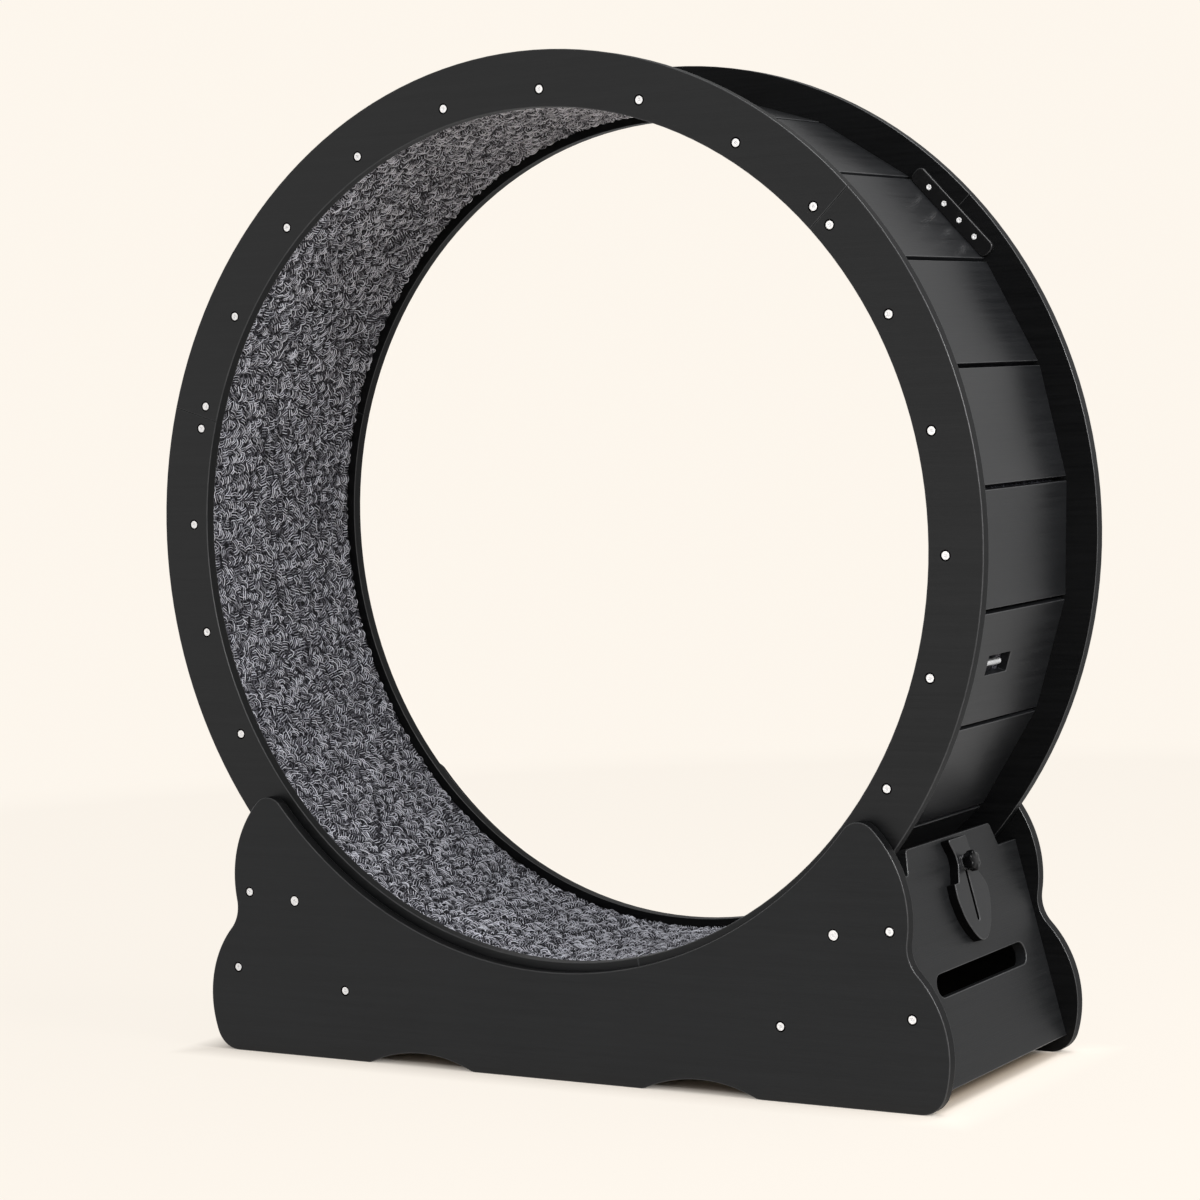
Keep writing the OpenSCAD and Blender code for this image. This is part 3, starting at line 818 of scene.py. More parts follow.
@dataclass
class SubAssembly:
    """A group of pieces that are built and dressed together."""

    body: str
    pieces: list[Piece] = field(default_factory=list)
    rim_facet: float = 0.0016
    head_edge_r: float = 0.0007

    def seat(self, piece: Piece, slot: str, *nodes: str) -> Piece:
        """Lets a piece ride on the body and stand for solids of the frame.

        Args:
            piece: The finished piece.
            slot: Material slot of the record. Not used.
            nodes: Solids that it stands for.

        Returns:
            The piece.
        """
        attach(piece, self.body)
        if nodes:
            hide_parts(*nodes)
        self.pieces.append(piece)
        return piece

    def rounded_copy(
        self,
        node: str,
        slot: str,
        rule: EdgeRule,
        radius: float,
        face: Finish,
        edge: Finish = BOARD_EDGE_HIGHLIGHT,
        segments: int = 3,
        holes: EdgeRule | None = None,
    ) -> Piece:
        """Builds a piece as a solid of the frame with some edges rounded over.

        Args:
            node: The solid.
            slot: Material slot of the record.
            rule: Picks the edges.
            radius: Width of the rounding.
            face: Finish of the faces.
            edge: Finish of the rounding.
            segments: Number of faces across the rounding.
            holes: Picks the rims of screw holes, which get a narrow chamfer in near-black painted
                shade.

        Returns:
            The piece.
        """
        piece = copy_of_node(node, node + "_piece")
        dress(piece, finish_of(face), finish_of(edge), finish_of(HOLE_SHADE))
        rounded = round_edges(piece, rule, radius, segments)
        if holes:
            rounded += round_edges(piece, holes, HOLE_CHAMFER, 1, slot=2)
        smooth(piece)
        LOG.info("%s: %d edges rounded", piece.name, rounded)
        return self.seat(piece, slot, node)

    def build_screws(self, node: str, height: float, radius: float | None = None) -> Piece:
        """Builds the screws of a solid, with the rims of their heads rounded over.

        Args:
            node: The solid.
            height: Distance of the heads' faces from the middle plane of the wheel.
            radius: Width of the rounding, where it isn't that of most heads.

        Returns:
            The screws, as one piece.
        """

        def on_rim(a: Vector, b: Vector) -> bool:
            """Tells a short edge in the face of a head, as its rim has and its socket hasn't."""
            return (a - b).length < self.rim_facet and at_depth(height, a, b)

        edge_r = radius or self.head_edge_r
        return self.rounded_copy(node, "zinc_steel", on_rim, edge_r, ZINC_STEEL, ZINC_STEEL)

    def repaint(self, piece: Piece, finish: Finish, rule: FaceRule) -> None:
        """Gives some faces of a piece a finish of their own.

        Args:
            piece: The piece.
            finish: The finish.
            rule: Picks a face by its middle and its normal.
        """
        piece.data.materials.append(finish_of(finish))
        slot = len(piece.data.materials) - 1
        for face in piece.data.polygons:
            if rule(face.center, face.normal):
                face.material_index = slot

    def paint_inner_shade(self, board: Piece, inner_y: float) -> None:
        """Gives the cut faces of a board, and its face towards the wheel, a darker colour: painted
        shade.

        Args:
            board: The board.
            inner_y: Distance of that face from the middle plane.
        """

        def is_inside(middle: Vector, normal: Vector) -> bool:
            """Tells a cut face, or one towards the wheel."""
            return at_depth(inner_y, middle) or abs(normal.y) < SQUARE

        self.repaint(board, INNER_BOARD_PAINTED_SHADE, is_inside)

    def dress_node(self, node: str, finish: Finish) -> None:
        """Puts a finish on a solid of the frame that stays as it is."""
        dress(frame["nodes"][node], finish_of(finish))
        LOG.info("%s: dressed in %s", node, finish.name)

    def build(self) -> None:
        """Builds the pieces."""
        raise NotImplementedError


@dataclass
class WheelRings(SubAssembly):
    """The two board rings with their joint plates and screws."""

    rim_r: float = 0.600
    inner_r: float = 0.530
    face_y: Span = (0.157, 0.172)
    plate_y: float = 0.151
    screw_r: float = 0.552
    hole_r: float = 0.0062
    edge_r: float = 0.0011
    plate_edge_r: float = 0.0014
    plate_shortest: float = 0.001
    plate_screw_r: float = 0.56905
    plate_screw_reach: float = 0.006
    plate_head_edge_r: float = 0.0006
    facet_play: float = 6e-4
    parts: int = 3

    def on_round_edge(self, a: Vector, b: Vector) -> bool:
        """Tells an edge of the rim or of the inner round, in one of the two faces.

        Args:
            a: One end of the edge.
            b: Its other end.

        Returns:
            Whether it is such an edge.
        """
        return abs(a.y - b.y) < NEAR and all(
            min(abs(axle_distance(p) - r) for r in (self.rim_r, self.inner_r)) < self.facet_play
            for p in (a, b)
        )

    def on_screw_hole(self, a: Vector, b: Vector) -> bool:
        """Tells an edge of a screw hole's rim, on the open face.

        Args:
            a: One end of the edge.
            b: Its other end.

        Returns:
            Whether it is such an edge.
        """
        near_screws = all(abs(axle_distance(p) - self.screw_r) < self.hole_r for p in (a, b))
        return near_screws and at_depth(self.face_y[1], a, b)

    def on_plate_outline(self, a: Vector, b: Vector) -> bool:
        """Tells an edge of a joint plate's outer outline, on its open face.

        Args:
            a: One end of the edge.
            b: Its other end.

        Returns:
            Whether it is such an edge.
        """
        off_screws = all(
            abs(axle_distance(p) - self.plate_screw_r) > self.plate_screw_reach for p in (a, b)
        )
        straight = (a - b).length > self.plate_shortest
        return at_depth(self.plate_y, a, b) and (straight or off_screws)

    def build(self) -> None:
        """Builds both rings."""
        for side in SIDES:
            for part in range(1, self.parts + 1):
                ring = self.rounded_copy(
                    f"{side}_ring_{part}",
                    "board_black",
                    self.on_round_edge,
                    self.edge_r,
                    RING_BOARD,
                    holes=self.on_screw_hole,
                )
                self.paint_inner_shade(ring, self.face_y[0])
            self.rounded_copy(
                f"{side}_joint_plates",
                "plate_plastic",
                self.on_plate_outline,
                self.plate_edge_r,
                PLATE_PLASTIC,
                PLATE_EDGE_HIGHLIGHT,
            )
            self.build_screws(f"{side}_ring_screws", self.face_y[1])
        self.build_screws("plate_screws", self.plate_y, self.plate_head_edge_r)


@dataclass
class WheelPlanks(SubAssembly):
    """The planks between the rings, and the pins in their lock windows."""

    count: int = 24
    half_track: float = 0.157
    edge_r: float = 0.0009
    shortest_side: float = 0.004

    def on_face_outline(self, a: Vector, b: Vector) -> bool:
        """Tells an edge along a plank or around its lock window, and none at its ends.

        Args:
            a: One end of the edge.
            b: Its other end.

        Returns:
            Whether it is such an edge.
        """
        inside = max(abs(a.y), abs(b.y)) < self.half_track - NEAR
        lengthwise = abs(a.y - b.y) > self.shortest_side
        return lengthwise or (inside and (a - b).length > self.shortest_side)

    def build(self) -> None:
        """Builds the planks."""
        for number in range(1, self.count + 1):
            self.rounded_copy(
                f"tread_{number:02d}",
                "board_satin",
                self.on_face_outline,
                self.edge_r,
                CROSS_BOARD,
                segments=2,
            )
        self.dress_node("strike_pins", BRIGHT_STEEL)


@dataclass(frozen=True)
class Tuft:
    """A few parallel threads: their points, their faces and the thread that each point is on."""

    points: np.ndarray
    faces: np.ndarray
    owner: np.ndarray


@dataclass
class RunningCarpet(SubAssembly):
    """The carpet lining: a felted ground and thousands of tufts of parallel curly threads.

    A value whose name ends in play says how far chance may change something.
    """

    ground_r: float = 0.5415
    ground_t: float = 0.0035
    half_width: float = 0.1565
    around: int = 300
    across: int = 28
    lump_size: float = 0.012
    lump_height: float = 0.0014
    lump_level: float = 0.4
    cell: float = 0.0124
    cell_play: Span = (0.25, 0.75)
    yarn_r: float = 0.00060
    yarn_sides: int = 3
    pitch: float = 0.0036
    thread_rise: tuple[float, ...] = (-0.0012, 0.0012, 0.0019, 0.0012, -0.0012)
    thread_length: Span = (0.0104, 0.0136)
    rise_play: Span = (-0.0002, 0.0004)
    end_play: float = 0.0015
    heading_play: float = 0.06
    stretch_limits: Span = (0.5, 1.5)
    swings: tuple[float, ...] = (1.0, 1.0, -0.9)
    strands: tuple[int, ...] = (3, 4, 4)
    bends: tuple[float, ...] = (0.0, 0.15, 0.4)
    curls: int = 1600
    curl_bend: Span = (0.5, 1.2)
    curl_lift: float = 0.0006
    size_play: Span = (0.9, 1.1)
    height_play: Span = (0.85, 1.15)
    tone_draws: int = 5
    tone_play: float = 0.08
    sectors: int = 12
    variants: int = 18
    seed: int = 41

    def build_ground(self) -> Piece:
        """Models the felted ground, with an uneven running side.

        Returns:
            The ground.
        """
        bpy.ops.object.select_all(action="DESELECT")
        bpy.ops.mesh.primitive_cylinder_add(
            vertices=self.around,
            radius=self.ground_r,
            depth=2 * self.half_width,
            end_fill_type="NOTHING",
            location=AXLE,
            rotation=(math.pi / 2, 0, 0),
        )
        ground = bpy.context.active_object
        ground.name = ground.data.name = "carpet_ground"
        bpy.ops.object.transform_apply(location=True, rotation=True, scale=True)
        bpy.ops.object.mode_set(mode="EDIT")
        bpy.ops.mesh.select_mode(type="EDGE")
        bpy.ops.mesh.select_all(action="DESELECT")
        bpy.ops.object.mode_set(mode="OBJECT")
        points = ground.data.vertices
        for edge in ground.data.edges:
            a, b = (points[i].co for i in edge.vertices)
            edge.select = abs(a.y - b.y) > self.half_width
        bpy.ops.object.mode_set(mode="EDIT")
        bpy.ops.mesh.subdivide_edgering(number_cuts=self.across - 1, interpolation="LINEAR")
        bpy.ops.object.mode_set(mode="OBJECT")
        lumps = bpy.data.textures.new("pile lumps", "CLOUDS")
        lumps.noise_scale = self.lump_size
        uneven = ground.modifiers.new("uneven pile", "DISPLACE")
        uneven.texture = lumps
        uneven.strength = self.lump_height
        uneven.mid_level = self.lump_level
        bpy.ops.object.modifier_apply(modifier=uneven.name)
        wall = ground.modifiers.new("backing", "SOLIDIFY")
        wall.thickness = self.ground_t
        wall.offset = 1.0
        bpy.ops.object.modifier_apply(modifier=wall.name)
        select_only(ground)
        bpy.ops.object.shade_smooth()
        return dress(ground, finish_of(CARPET_GROUND))

    def model_tuft(
        self, rng: random.Random, number: int, section: Piece, strands: int, bend: float
    ) -> Tuft:
        """Models one tuft: parallel threads that lie on the ground, with their ends sunk in it.

        Args:
            rng: Source of its shape.
            number: Number of the tuft.
            section: Closed curve that is the section of a thread.
            strands: Number of threads.
            bend: Turn of a thread at each of its points, in radians.

        Returns:
            The tuft.
        """
        steps = len(self.thread_rise) - 1
        middle = steps // 2
        shortest, longest = self.stretch_limits
        bpy.ops.object.select_all(action="DESELECT")
        bpy.ops.curve.primitive_nurbs_path_add()
        tuft = bpy.context.active_object
        tuft.name = f"yarn_tuft_{number}"
        swing = rng.choice(self.swings)
        while len(tuft.data.splines) < strands:
            extra = tuft.data.splines.new("NURBS")
            extra.points.add(steps)
            extra.use_endpoint_u = True
        for strand, spline in enumerate(tuft.data.splines):
            side = (strand - (strands - 1) / 2) * self.pitch
            step = rng.uniform(*self.thread_length) / steps
            stretch = max(shortest, min(longest, 1.0 - side * bend / step))
            heading = rng.uniform(-self.heading_play, self.heading_play) - bend
            start = rng.uniform(-self.end_play, self.end_play) - middle * step
            place = Vector((start, side, 0.0))
            spline.order_u = 3
            for index, rise in enumerate(self.thread_rise):
                height = rise + rng.uniform(*self.rise_play)
                spline.points[index].co = (place.x, place.y, height, 1.0)
                heading += bend * (1.0 if index < middle else swing)
                place += Vector((math.cos(heading), math.sin(heading), 0.0)) * step * stretch
        tuft.data.resolution_u = 2
        tuft.data.bevel_mode = "OBJECT"
        tuft.data.bevel_object = section
        bpy.ops.object.convert(target="MESH")
        tuft = bpy.context.active_object
        mesh = tuft.data
        points = np.zeros(len(mesh.vertices) * 3)
        mesh.vertices.foreach_get("co", points)
        points = points.reshape(-1, 3)
        points[:, :2] -= points[:, :2].mean(axis=0)
        faces = np.array([list(p.vertices) for p in mesh.polygons if len(p.vertices) == 4])
        owner = np.arange(len(points)) * strands // len(points)
        bpy.data.objects.remove(tuft)
        return Tuft(points, faces, owner)

    def lay(
        self, rng: random.Random, tuft: Tuft, turn: float, angle: float, across: float, lift: float
    ) -> np.ndarray:
        """Lays a copy of a tuft on the ground.

        Args:
            rng: Source of its size.
            tuft: The tuft.
            turn: Turn of the tuft on the ground.
            angle: Its place around the wheel.
            across: Its place across the wheel, moved in where it would reach over a ring.
            lift: Height above the ground.

        Returns:
            Its points in the wheel.
        """
        shape = tuft.points
        size = rng.uniform(*self.size_play)
        cos, sin = math.cos(turn) * size, math.sin(turn) * size
        along = shape[:, 0] * cos - shape[:, 1] * sin
        sideways = shape[:, 0] * sin + shape[:, 1] * cos
        low, high = -sideways.min() - self.half_width, self.half_width - sideways.max()
        across = max(low, min(high, across))
        angles = angle + along / self.ground_r
        radius = self.ground_r - lift - shape[:, 2] * rng.uniform(*self.height_play)
        x, z = radius * np.cos(angles), AXLE.z + radius * np.sin(angles)
        return np.stack((x, across + sideways, z), axis=1)

    def scatter(self, tufts: list[Tuft], curls: list[Tuft]) -> None:
        """Lays copies of the tufts over the ground, and loose curls on them, sector by sector.

        Args:
            tufts: Each kind of tuft.
            curls: Each kind of loose curl.
        """
        rng = random.Random(self.seed)
        columns = round(2 * math.pi * self.ground_r / self.cell)
        rows = round(2 * self.half_width / self.cell)
        play = self.cell_play
        for sector in range(self.sectors):
            first = sector * columns // self.sectors
            last = (sector + 1) * columns // self.sectors
            spots = [
                (rng.choice(tufts), column + rng.uniform(*play), row + rng.uniform(*play), 0.0)
                for column in range(first, last)
                for row in range(rows)
            ]
            spots += [
                (rng.choice(curls), rng.uniform(first, last), rng.uniform(0, rows), self.curl_lift)
                for _ in range(self.curls // self.sectors)
            ]
            points, faces, tones, start = [], [], [], 0
            for tuft, column, row, lift in spots:
                angle = column * self.cell / self.ground_r
                across = (row / rows * 2 - 1) * self.half_width
                laid = self.lay(rng, tuft, rng.uniform(0, 2 * math.pi), angle, across, lift)
                points.append(laid)
                faces.append(tuft.faces + start)
                start += len(laid)
                light = [
                    rng.choice(THREAD_TONES) + rng.uniform(-self.tone_play, self.tone_play)
                    for _ in range(self.tone_draws)
                ]
                tones.append(np.array(light)[tuft.owner])
            mesh = bpy.data.meshes.new(f"carpet_pile_{sector + 1:02d}")
            mesh.from_pydata(np.concatenate(points).tolist(), [], np.concatenate(faces).tolist())
            tone_values = mesh.attributes.new("tone", "FLOAT", "POINT")
            tone_values.data.foreach_set("value", np.concatenate(tones).astype(np.float32))
            mesh.polygons.foreach_set("use_smooth", [True] * len(mesh.polygons))
            pile = bpy.data.objects.new(mesh.name, mesh)
            bpy.context.scene.collection.objects.link(pile)
            self.seat(dress(pile, finish_of(CARPET_YARN)), "carpet")

    def build(self) -> None:
        """Builds the ground and the pile."""
        self.seat(self.build_ground(), "carpet", "carpet_liner")
        bpy.ops.object.select_all(action="DESELECT")
        bpy.ops.mesh.primitive_circle_add(vertices=self.yarn_sides, radius=self.yarn_r)
        bpy.ops.object.convert(target="CURVE")
        section = bpy.context.active_object
        rng = random.Random(self.seed + 1)
        tufts, curls = [], []
        for number in range(self.variants):
            strands = rng.choice(self.strands)
            bend = rng.choice((-1, 1)) * rng.choice(self.bends)
            tufts.append(self.model_tuft(rng, number, section, strands, bend))
        for number in range(self.variants, 2 * self.variants):
            bend = rng.choice((-1, 1)) * rng.uniform(*self.curl_bend)
            curls.append(self.model_tuft(rng, number, section, 1, bend))
        self.scatter(tufts, curls)
        bpy.data.objects.remove(section)


@dataclass
class Base(SubAssembly):
    """The side panels, end panels and rails, with their screws."""

    panel_y: Span = (0.177, 0.192)
    edge_r: float = 0.0011
    hole_reach: float = 0.0075
    bolt_reach: float = 0.006
    rail_edge_r: float = 0.0015
    rail_shortest: float = 0.1
    screws: tuple[Span, ...] = (
        (0.4978, 0.1120), (0.4724, 0.2140), (0.3225, 0.0915), (0.3983, 0.2057)
    )

    def off_screw(self, point: Vector, screw: Span) -> float:
        """Distance of a point of a side panel from the middle of a screw."""
        return math.hypot(abs(point.x) - screw[0], point.z - screw[1])

    def on_panel_outline(self, a: Vector, b: Vector) -> bool:
        """Tells an edge of a side panel's outline, apart from its screw holes.

        Args:
            a: One end of the edge.
            b: Its other end.

        Returns:
            Whether it is such an edge.
        """
        in_one_face = any(at_depth(y, a, b) for y in self.panel_y)
        return in_one_face and all(
            self.off_screw(p, screw) > self.hole_reach for p in (a, b) for screw in self.screws
        )

    def on_screw_hole(self, a: Vector, b: Vector) -> bool:
        """Tells an edge of a screw hole's rim, on the open face of a side panel.

        Args:
            a: One end of the edge.
            b: Its other end.

        Returns:
            Whether it is such an edge.
        """
        return at_depth(self.panel_y[1], a, b) and any(
            all(self.off_screw(p, screw) < self.hole_reach for p in (a, b)) for screw in self.screws
        )

    def on_end_outline(self, a: Vector, b: Vector) -> bool:
        """Tells an edge of an end panel's outline or handle slot, on its outer face.

        Args:
            a: One end of the edge.
            b: Its other end.

        Returns:
            Whether it is such an edge.
        """
        return all(
            abs(SLANT.height(p)) < NEAR
            and math.hypot(p.y, SLANT.along(p) - SLANT.bolt_s) > self.bolt_reach
            for p in (a, b)
        )

    def along_rail(self, a: Vector, b: Vector) -> bool:
        """Tells a long edge of a rail."""
        return abs(a.y - b.y) > self.rail_shortest

    def build(self) -> None:
        """Builds the base."""
        for side in SIDES:
            panel = self.rounded_copy(
                f"{side}_panel",
                "board_black",
                self.on_panel_outline,
                self.edge_r,
                PANEL_BOARD,
                holes=self.on_screw_hole,
            )
            self.paint_inner_shade(panel, self.panel_y[0])
        for end in ("left", "right"):
            self.rounded_copy(
                f"{end}_end_panel", "board_satin", self.on_end_outline, self.edge_r, END_BOARD
            )
            self.rounded_copy(
                f"{end}_brace",
                "board_satin",
                self.along_rail,
                self.rail_edge_r,
                CROSS_BOARD,
                segments=2,
            )
        self.build_screws("base_screws", self.panel_y[1])
        self.dress_node("roller_bolts", ZINC_STEEL)
        for node in ("roller_washers", "roller_nuts", "latch_bolt"):
            self.dress_node(node, BRIGHT_STEEL)


@dataclass
class Roller(SubAssembly):
    """One roller with its two ball bearings."""

    number: int = 1
    edge_r: float = 0.0006

    def on_rim(self, a: Vector, b: Vector) -> bool:
        """Tells an edge around the roller."""
        return abs(a.y - b.y) < NEAR

    def build(self) -> None:
        """Builds the roller."""
        self.rounded_copy(
            f"roller_{self.number}",
            "roller_rubber",
            self.on_rim,
            self.edge_r,
            ROLLER_RUBBER,
            ROLLER_RUBBER,
            segments=2,
        )
        self.dress_node(f"roller_bearings_{self.number}", BEARING_STEEL)


@dataclass
class Latch(SubAssembly):
    """The sliding latch plate."""

    face_h: float = 0.0123
    edge_r: float = 0.0011

    def on_face(self, a: Vector, b: Vector) -> bool:
        """Tells an edge of the outer face."""
        return all(abs(SLANT.height(p) - self.face_h) < NEAR for p in (a, b))

    def build(self) -> None:
        """Builds the plate, with its cut faces in near-black painted shade."""
        plate = self.rounded_copy(
            "latch_plate", "board_satin", self.on_face, self.edge_r, LATCH_BOARD, segments=2
        )
        out = SLANT.out()
        # The cut sides get painted shade, near black
        self.repaint(plate, HOLE_SHADE, lambda middle, normal: abs(normal.dot(out)) < SQUARE)


@dataclass
class Knob(SubAssembly):
    """The star knob and its washer.

    A band is a range of the cosine that is one at the tip of a lobe and minus one in a hollow.
    """

    lobes: int = 6
    corners: int = 4
    radius: float = 0.013
    head: Span = (0.0040, 0.0140)
    hollow: float = 0.80
    hollow_band: Span = (-1.1, -0.5)
    flank_band: Span = (-0.5, 0.5)
    crown: float = 0.0015
    crown_insets: Span = (0.0032, 0.0030)
    crown_shares: Span = (0.6, 0.4)
    neck_inset: float = 0.0024
    foot_inset: float = 0.0008
    seat_h: float = 0.0142
    rounding: int = 3

    def pick(self, piece: Piece, kind: str, rule: Callable[[Vector], bool]) -> None:
        """Selects the vertices or faces whose place or normal passes a rule, in edit mode.

        Args:
            piece: The piece.
            kind: VERT or FACE.
            rule: Takes the place of a vertex or the normal of a face.
        """
        bpy.ops.mesh.select_mode(type=kind)
        bpy.ops.mesh.select_all(action="DESELECT")
        bpy.ops.object.mode_set(mode="OBJECT")
        if kind == "VERT":
            for point in piece.data.vertices:
                point.select = rule(point.co)
        else:
            for face in piece.data.polygons:
                face.select = rule(face.normal)
        bpy.ops.object.mode_set(mode="EDIT")

    def model(self) -> Piece:
        """Models the knob about its own axis, with z = 0 at the foot of its neck.

        Returns:
            The knob.
        """
        bottom, top = self.head
        bpy.ops.object.select_all(action="DESELECT")
        bpy.ops.mesh.primitive_cylinder_add(
            vertices=self.lobes * self.corners,
            radius=self.radius,
            depth=top - bottom,
            location=(0, 0, (top + bottom) / 2),
        )
        knob = bpy.context.active_object
        knob.name = knob.data.name = "star_knob"
        bpy.ops.object.transform_apply(location=True, rotation=True, scale=True)
        bpy.ops.object.mode_set(mode="EDIT")
        flank = 0.5 + self.hollow / 2
        for (low, high), share in ((self.hollow_band, self.hollow), (self.flank_band, flank)):
            self.pick(
                knob, "VERT", lambda p: low < math.cos(self.lobes * math.atan2(p.y, p.x)) < high
            )
            bpy.ops.transform.resize(value=(share, share, 1.0), center_override=(0, 0, 0))
        bpy.ops.mesh.select_all(action="SELECT")
        bpy.ops.mesh.bisect(plane_co=(0, 0, (top + bottom) / 2), plane_no=(0, 0, 1))
        self.pick(knob, "FACE", lambda n: n.z > FACING)
        for inset, share in zip(self.crown_insets, self.crown_shares):
            bpy.ops.mesh.inset(thickness=inset, depth=self.crown * share)
        self.pick(knob, "FACE", lambda n: n.z < -FACING)
        bpy.ops.mesh.inset(thickness=self.neck_inset)
        bpy.ops.mesh.extrude_region_move(TRANSFORM_OT_translate={"value": (0, 0, -bottom)})
        bpy.ops.mesh.inset(thickness=self.foot_inset)
        bpy.ops.object.mode_set(mode="OBJECT")
        rounding = knob.modifiers.new("rounding", "SUBSURF")
        rounding.levels = rounding.render_levels = self.rounding
        bpy.ops.object.modifier_apply(modifier=rounding.name)
        bpy.ops.object.shade_smooth()
        flat = self.radius / max(math.hypot(p.co.x, p.co.y) for p in knob.data.vertices)
        heights = [p.co.z for p in knob.data.vertices]
        foot = min(heights)
        tall = (top + self.crown) / (max(heights) - foot)
        for point in knob.data.vertices:
            point.co = (point.co.x * flat, point.co.y * flat, (point.co.z - foot) * tall)
        return knob

    def build(self) -> None:
        """Builds the knob in its place on the latch bolt."""
        knob = self.model()
        foot = Vector((SLANT.foot_x, 0, 0))
        place = foot + SLANT.up() * SLANT.bolt_s + SLANT.out() * self.seat_h
        turn = Matrix.Rotation(math.pi / 2 - SLANT.tilt, 4, "Y")
        knob.data.transform(Matrix.Translation(place) @ turn)
        dress(knob, finish_of(KNOB_PLASTIC))
        self.seat(knob, "knob_plastic", "latch_knob")
        self.dress_node("latch_washer", BRIGHT_STEEL)


# Studio


@dataclass(frozen=True)
class Softbox:
    """A soft area light that faces the wheel, and whether gloss shows it."""

    name: str
    place: tuple[float, float, float]
    side: float
    power: float
    mirrored: bool = False

    def add(self) -> None:
        """Adds the light."""
        light = bpy.data.lights.new(self.name, "AREA")
        light.shape = "RECTANGLE"
        light.size = light.size_y = self.side
        light.energy = self.power
        lamp = bpy.data.objects.new(self.name, light)
        bpy.context.scene.collection.objects.link(lamp)
        lamp.visible_glossy = self.mirrored
        lamp.location = self.place
        lamp.rotation_mode = "QUATERNION"
        lamp.rotation_quaternion = (AXLE - Vector(self.place)).to_track_quat("-Z", "Y")


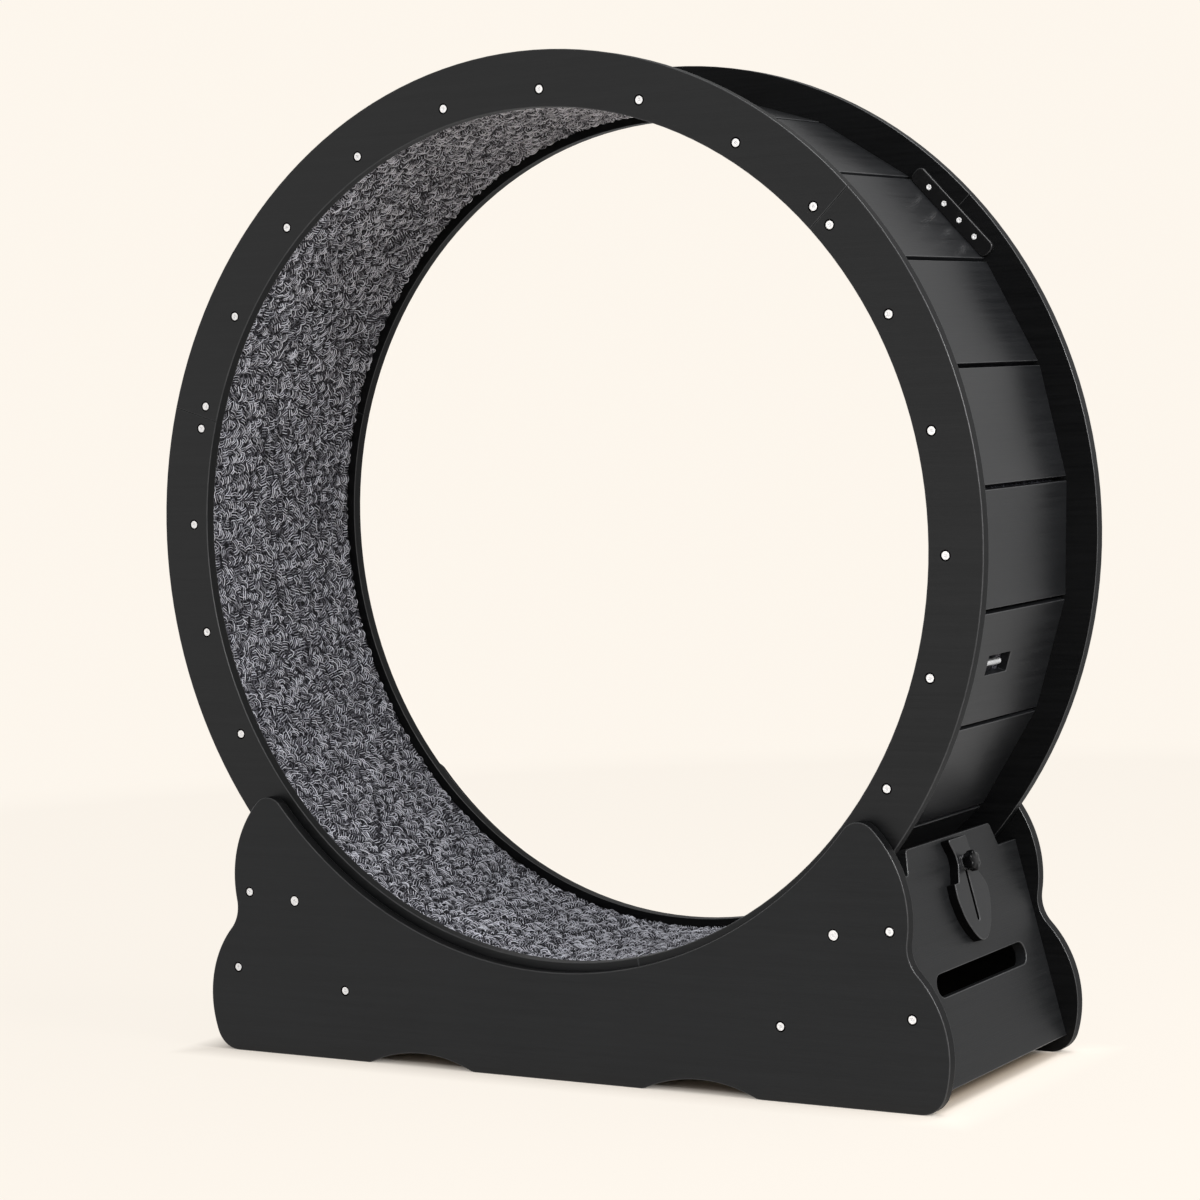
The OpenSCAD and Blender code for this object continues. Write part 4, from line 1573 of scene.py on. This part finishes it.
@dataclass
class Studio:
    """The pale floor, the soft lights and the camera."""

    background: Colour = (0.985, 0.925, 0.845)
    paper: Colour = (0.80, 0.735, 0.66)
    # Darker brown of the paper under the base: a painted shadow
    paper_painted_shadow: Colour = (0.60, 0.48, 0.36)
    floor_size: float = 60.0
    fade: Span = (0.6, 3.4)
    mirrored: Colour = (0.90, 0.895, 0.89)
    mirrored_floor: Colour = (0.68, 0.68, 0.68)
    mirrored_heights: Span = (0.2, 0.6)
    mirrored_high: float = 0.5
    sky: Colour = (1.0, 0.985, 0.97)
    sky_light: float = 0.42
    glow: float = 0.94
    glow_reach: Span = (-0.02, 0.06)
    painted_shadow_reach: Span = (-0.04, 0.005)
    footprint: Span = (0.53, 0.185)
    place: tuple[float, float, float] = (2.12884, -3.43182, 0.86105)
    azimuth: float = 0.56077
    down: float = 0.06768
    roll: float = -0.04236
    lens: float = 94.3014
    sensor: float = 36.0
    far: float = 100.0
    boxes: tuple[Softbox, ...] = (
        Softbox("top box", (1.3, 0.35, 3.1), 1.4, 50.0, mirrored=True),
        Softbox("front box", (1.9, -3.4, 2.0), 2.6, 68.0),
        Softbox("right box", (3.3, -0.6, 2.0), 1.3, 120.0, mirrored=True),
    )

    def build_camera(self) -> None:
        """Sets the camera up where the photograph was taken."""
        camera = bpy.data.objects.new("camera", bpy.data.cameras.new("camera"))
        bpy.context.scene.collection.objects.link(camera)
        camera.data.sensor_width = self.sensor
        camera.data.lens = self.lens
        camera.data.clip_end = self.far
        camera.matrix_world = (
            Matrix.Translation(self.place)
            @ Matrix.Rotation(self.azimuth, 4, "Z")
            @ Matrix.Rotation(math.pi / 2 - self.down, 4, "X")
            @ Matrix.Rotation(self.roll, 4, "Z")
        )
        bpy.context.scene.camera = camera

    def seen_directly(self, graph: Graph) -> Socket:
        """One where a ray comes from the camera or through glass, and zero elsewhere."""
        path = graph.add("ShaderNodeLightPath").outputs
        return graph.math("MAXIMUM", path["Is Camera Ray"], path["Is Transmission Ray"])

    def seen_in_gloss(self, graph: Graph) -> Socket:
        """One where a ray comes from a glossy surface, and zero elsewhere."""
        return graph.add("ShaderNodeLightPath").outputs["Is Glossy Ray"]

    def build_floor(self) -> None:
        """Lays the pale floor, which fades into the background away from the object and turns a
        painted brown shadow under the base.
        """
        bpy.ops.object.select_all(action="DESELECT")
        bpy.ops.mesh.primitive_plane_add(size=self.floor_size)
        floor = bpy.context.active_object
        floor.name = "floor"
        material, graph, place = start_material("pale floor")
        distance = graph.add("ShaderNodeVectorMath", {0: place}, operation="LENGTH").outputs
        far = graph.ranged(distance["Value"], self.fade, interpolation_type="SMOOTHSTEP")
        parts = graph.add("ShaderNodeSeparateXYZ", {0: place}).outputs
        beside = [
            graph.math("SUBTRACT", graph.math("ABSOLUTE", parts[axis]), half)
            for axis, half in enumerate(self.footprint)
        ]
        off = graph.math("MAXIMUM", *beside)
        near = graph.ranged(off, self.glow_reach, (0.0, self.glow))
        mirror = self.seen_in_gloss(graph)
        seen = graph.math("MAXIMUM", self.seen_directly(graph), mirror)
        shown = graph.math("MULTIPLY", seen, graph.math("MAXIMUM", near, far))
        # Under the base the paper turns darker brown: a painted shadow of the base
        under = graph.ranged(off, self.painted_shadow_reach, (1.0, 0.0))
        tone = graph.blend(under, self.paper, self.paper_painted_shadow)
        paper = graph.add("ShaderNodeBsdfDiffuse", {"Color": tone}).outputs[0]
        shade = graph.blend(mirror, self.background, self.mirrored_floor)
        glow = graph.add("ShaderNodeEmission", {"Color": shade, "Strength": 1.0}).outputs[0]
        mixed = graph.add("ShaderNodeMixShader", {0: shown, 1: paper, 2: glow}).outputs[0]
        graph.add("ShaderNodeOutputMaterial", {"Surface": mixed})
        dress(floor, material)

    def build_world(self) -> None:
        """Gives a soft even light, and the background that the camera and the gloss see."""
        world = bpy.data.worlds.new("studio")
        world.use_nodes = True
        bpy.context.scene.world = world
        graph = Graph(world.node_tree)
        direction = graph.add("ShaderNodeTexCoord").outputs["Object"]
        height = graph.add("ShaderNodeSeparateXYZ", {0: direction}).outputs[2]
        dimmed = graph.ranged(height, self.mirrored_heights, (1.0, self.mirrored_high))
        lights = ((self.sky, self.sky_light), (self.background, 1.0), (self.mirrored, dimmed))
        lit, shown, gloss = (
            graph.add("ShaderNodeBackground", {"Color": (*tone, 1.0), "Strength": power}).outputs[0]
            for tone, power in lights
        )
        choice = {0: self.seen_in_gloss(graph), 1: lit, 2: gloss}
        unseen = graph.add("ShaderNodeMixShader", choice).outputs[0]
        choice = {0: self.seen_directly(graph), 1: unseen, 2: shown}
        mixed = graph.add("ShaderNodeMixShader", choice).outputs[0]
        graph.add("ShaderNodeOutputWorld", {"Surface": mixed})

    def build(self) -> None:
        """Builds the studio."""
        bpy.context.scene.view_settings.view_transform = "Standard"
        self.build_camera()
        self.build_floor()
        self.build_world()
        for box in self.boxes:
            box.add()


def main() -> None:
    """Builds the studio and every sub-assembly, and reports their pieces."""
    Studio().build()
    rollers = ("front_left_roller", "front_right_roller", "rear_left_roller", "rear_right_roller")
    parts: list[SubAssembly] = [
        WheelRings("wheel"),
        WheelPlanks("wheel"),
        RunningCarpet("wheel"),
        Base("base"),
        *(Roller(body, number=index + 1) for index, body in enumerate(rollers)),
        Latch("latch"),
        Knob("knob"),
    ]
    for part in parts:
        part.build()
        for piece in part.pieces:
            faces = len(piece.data.polygons)
            LOG.info("%s on %s: %s, %d faces", type(part).__name__, part.body, piece.name, faces)


if __name__ == "__main__":
    main()
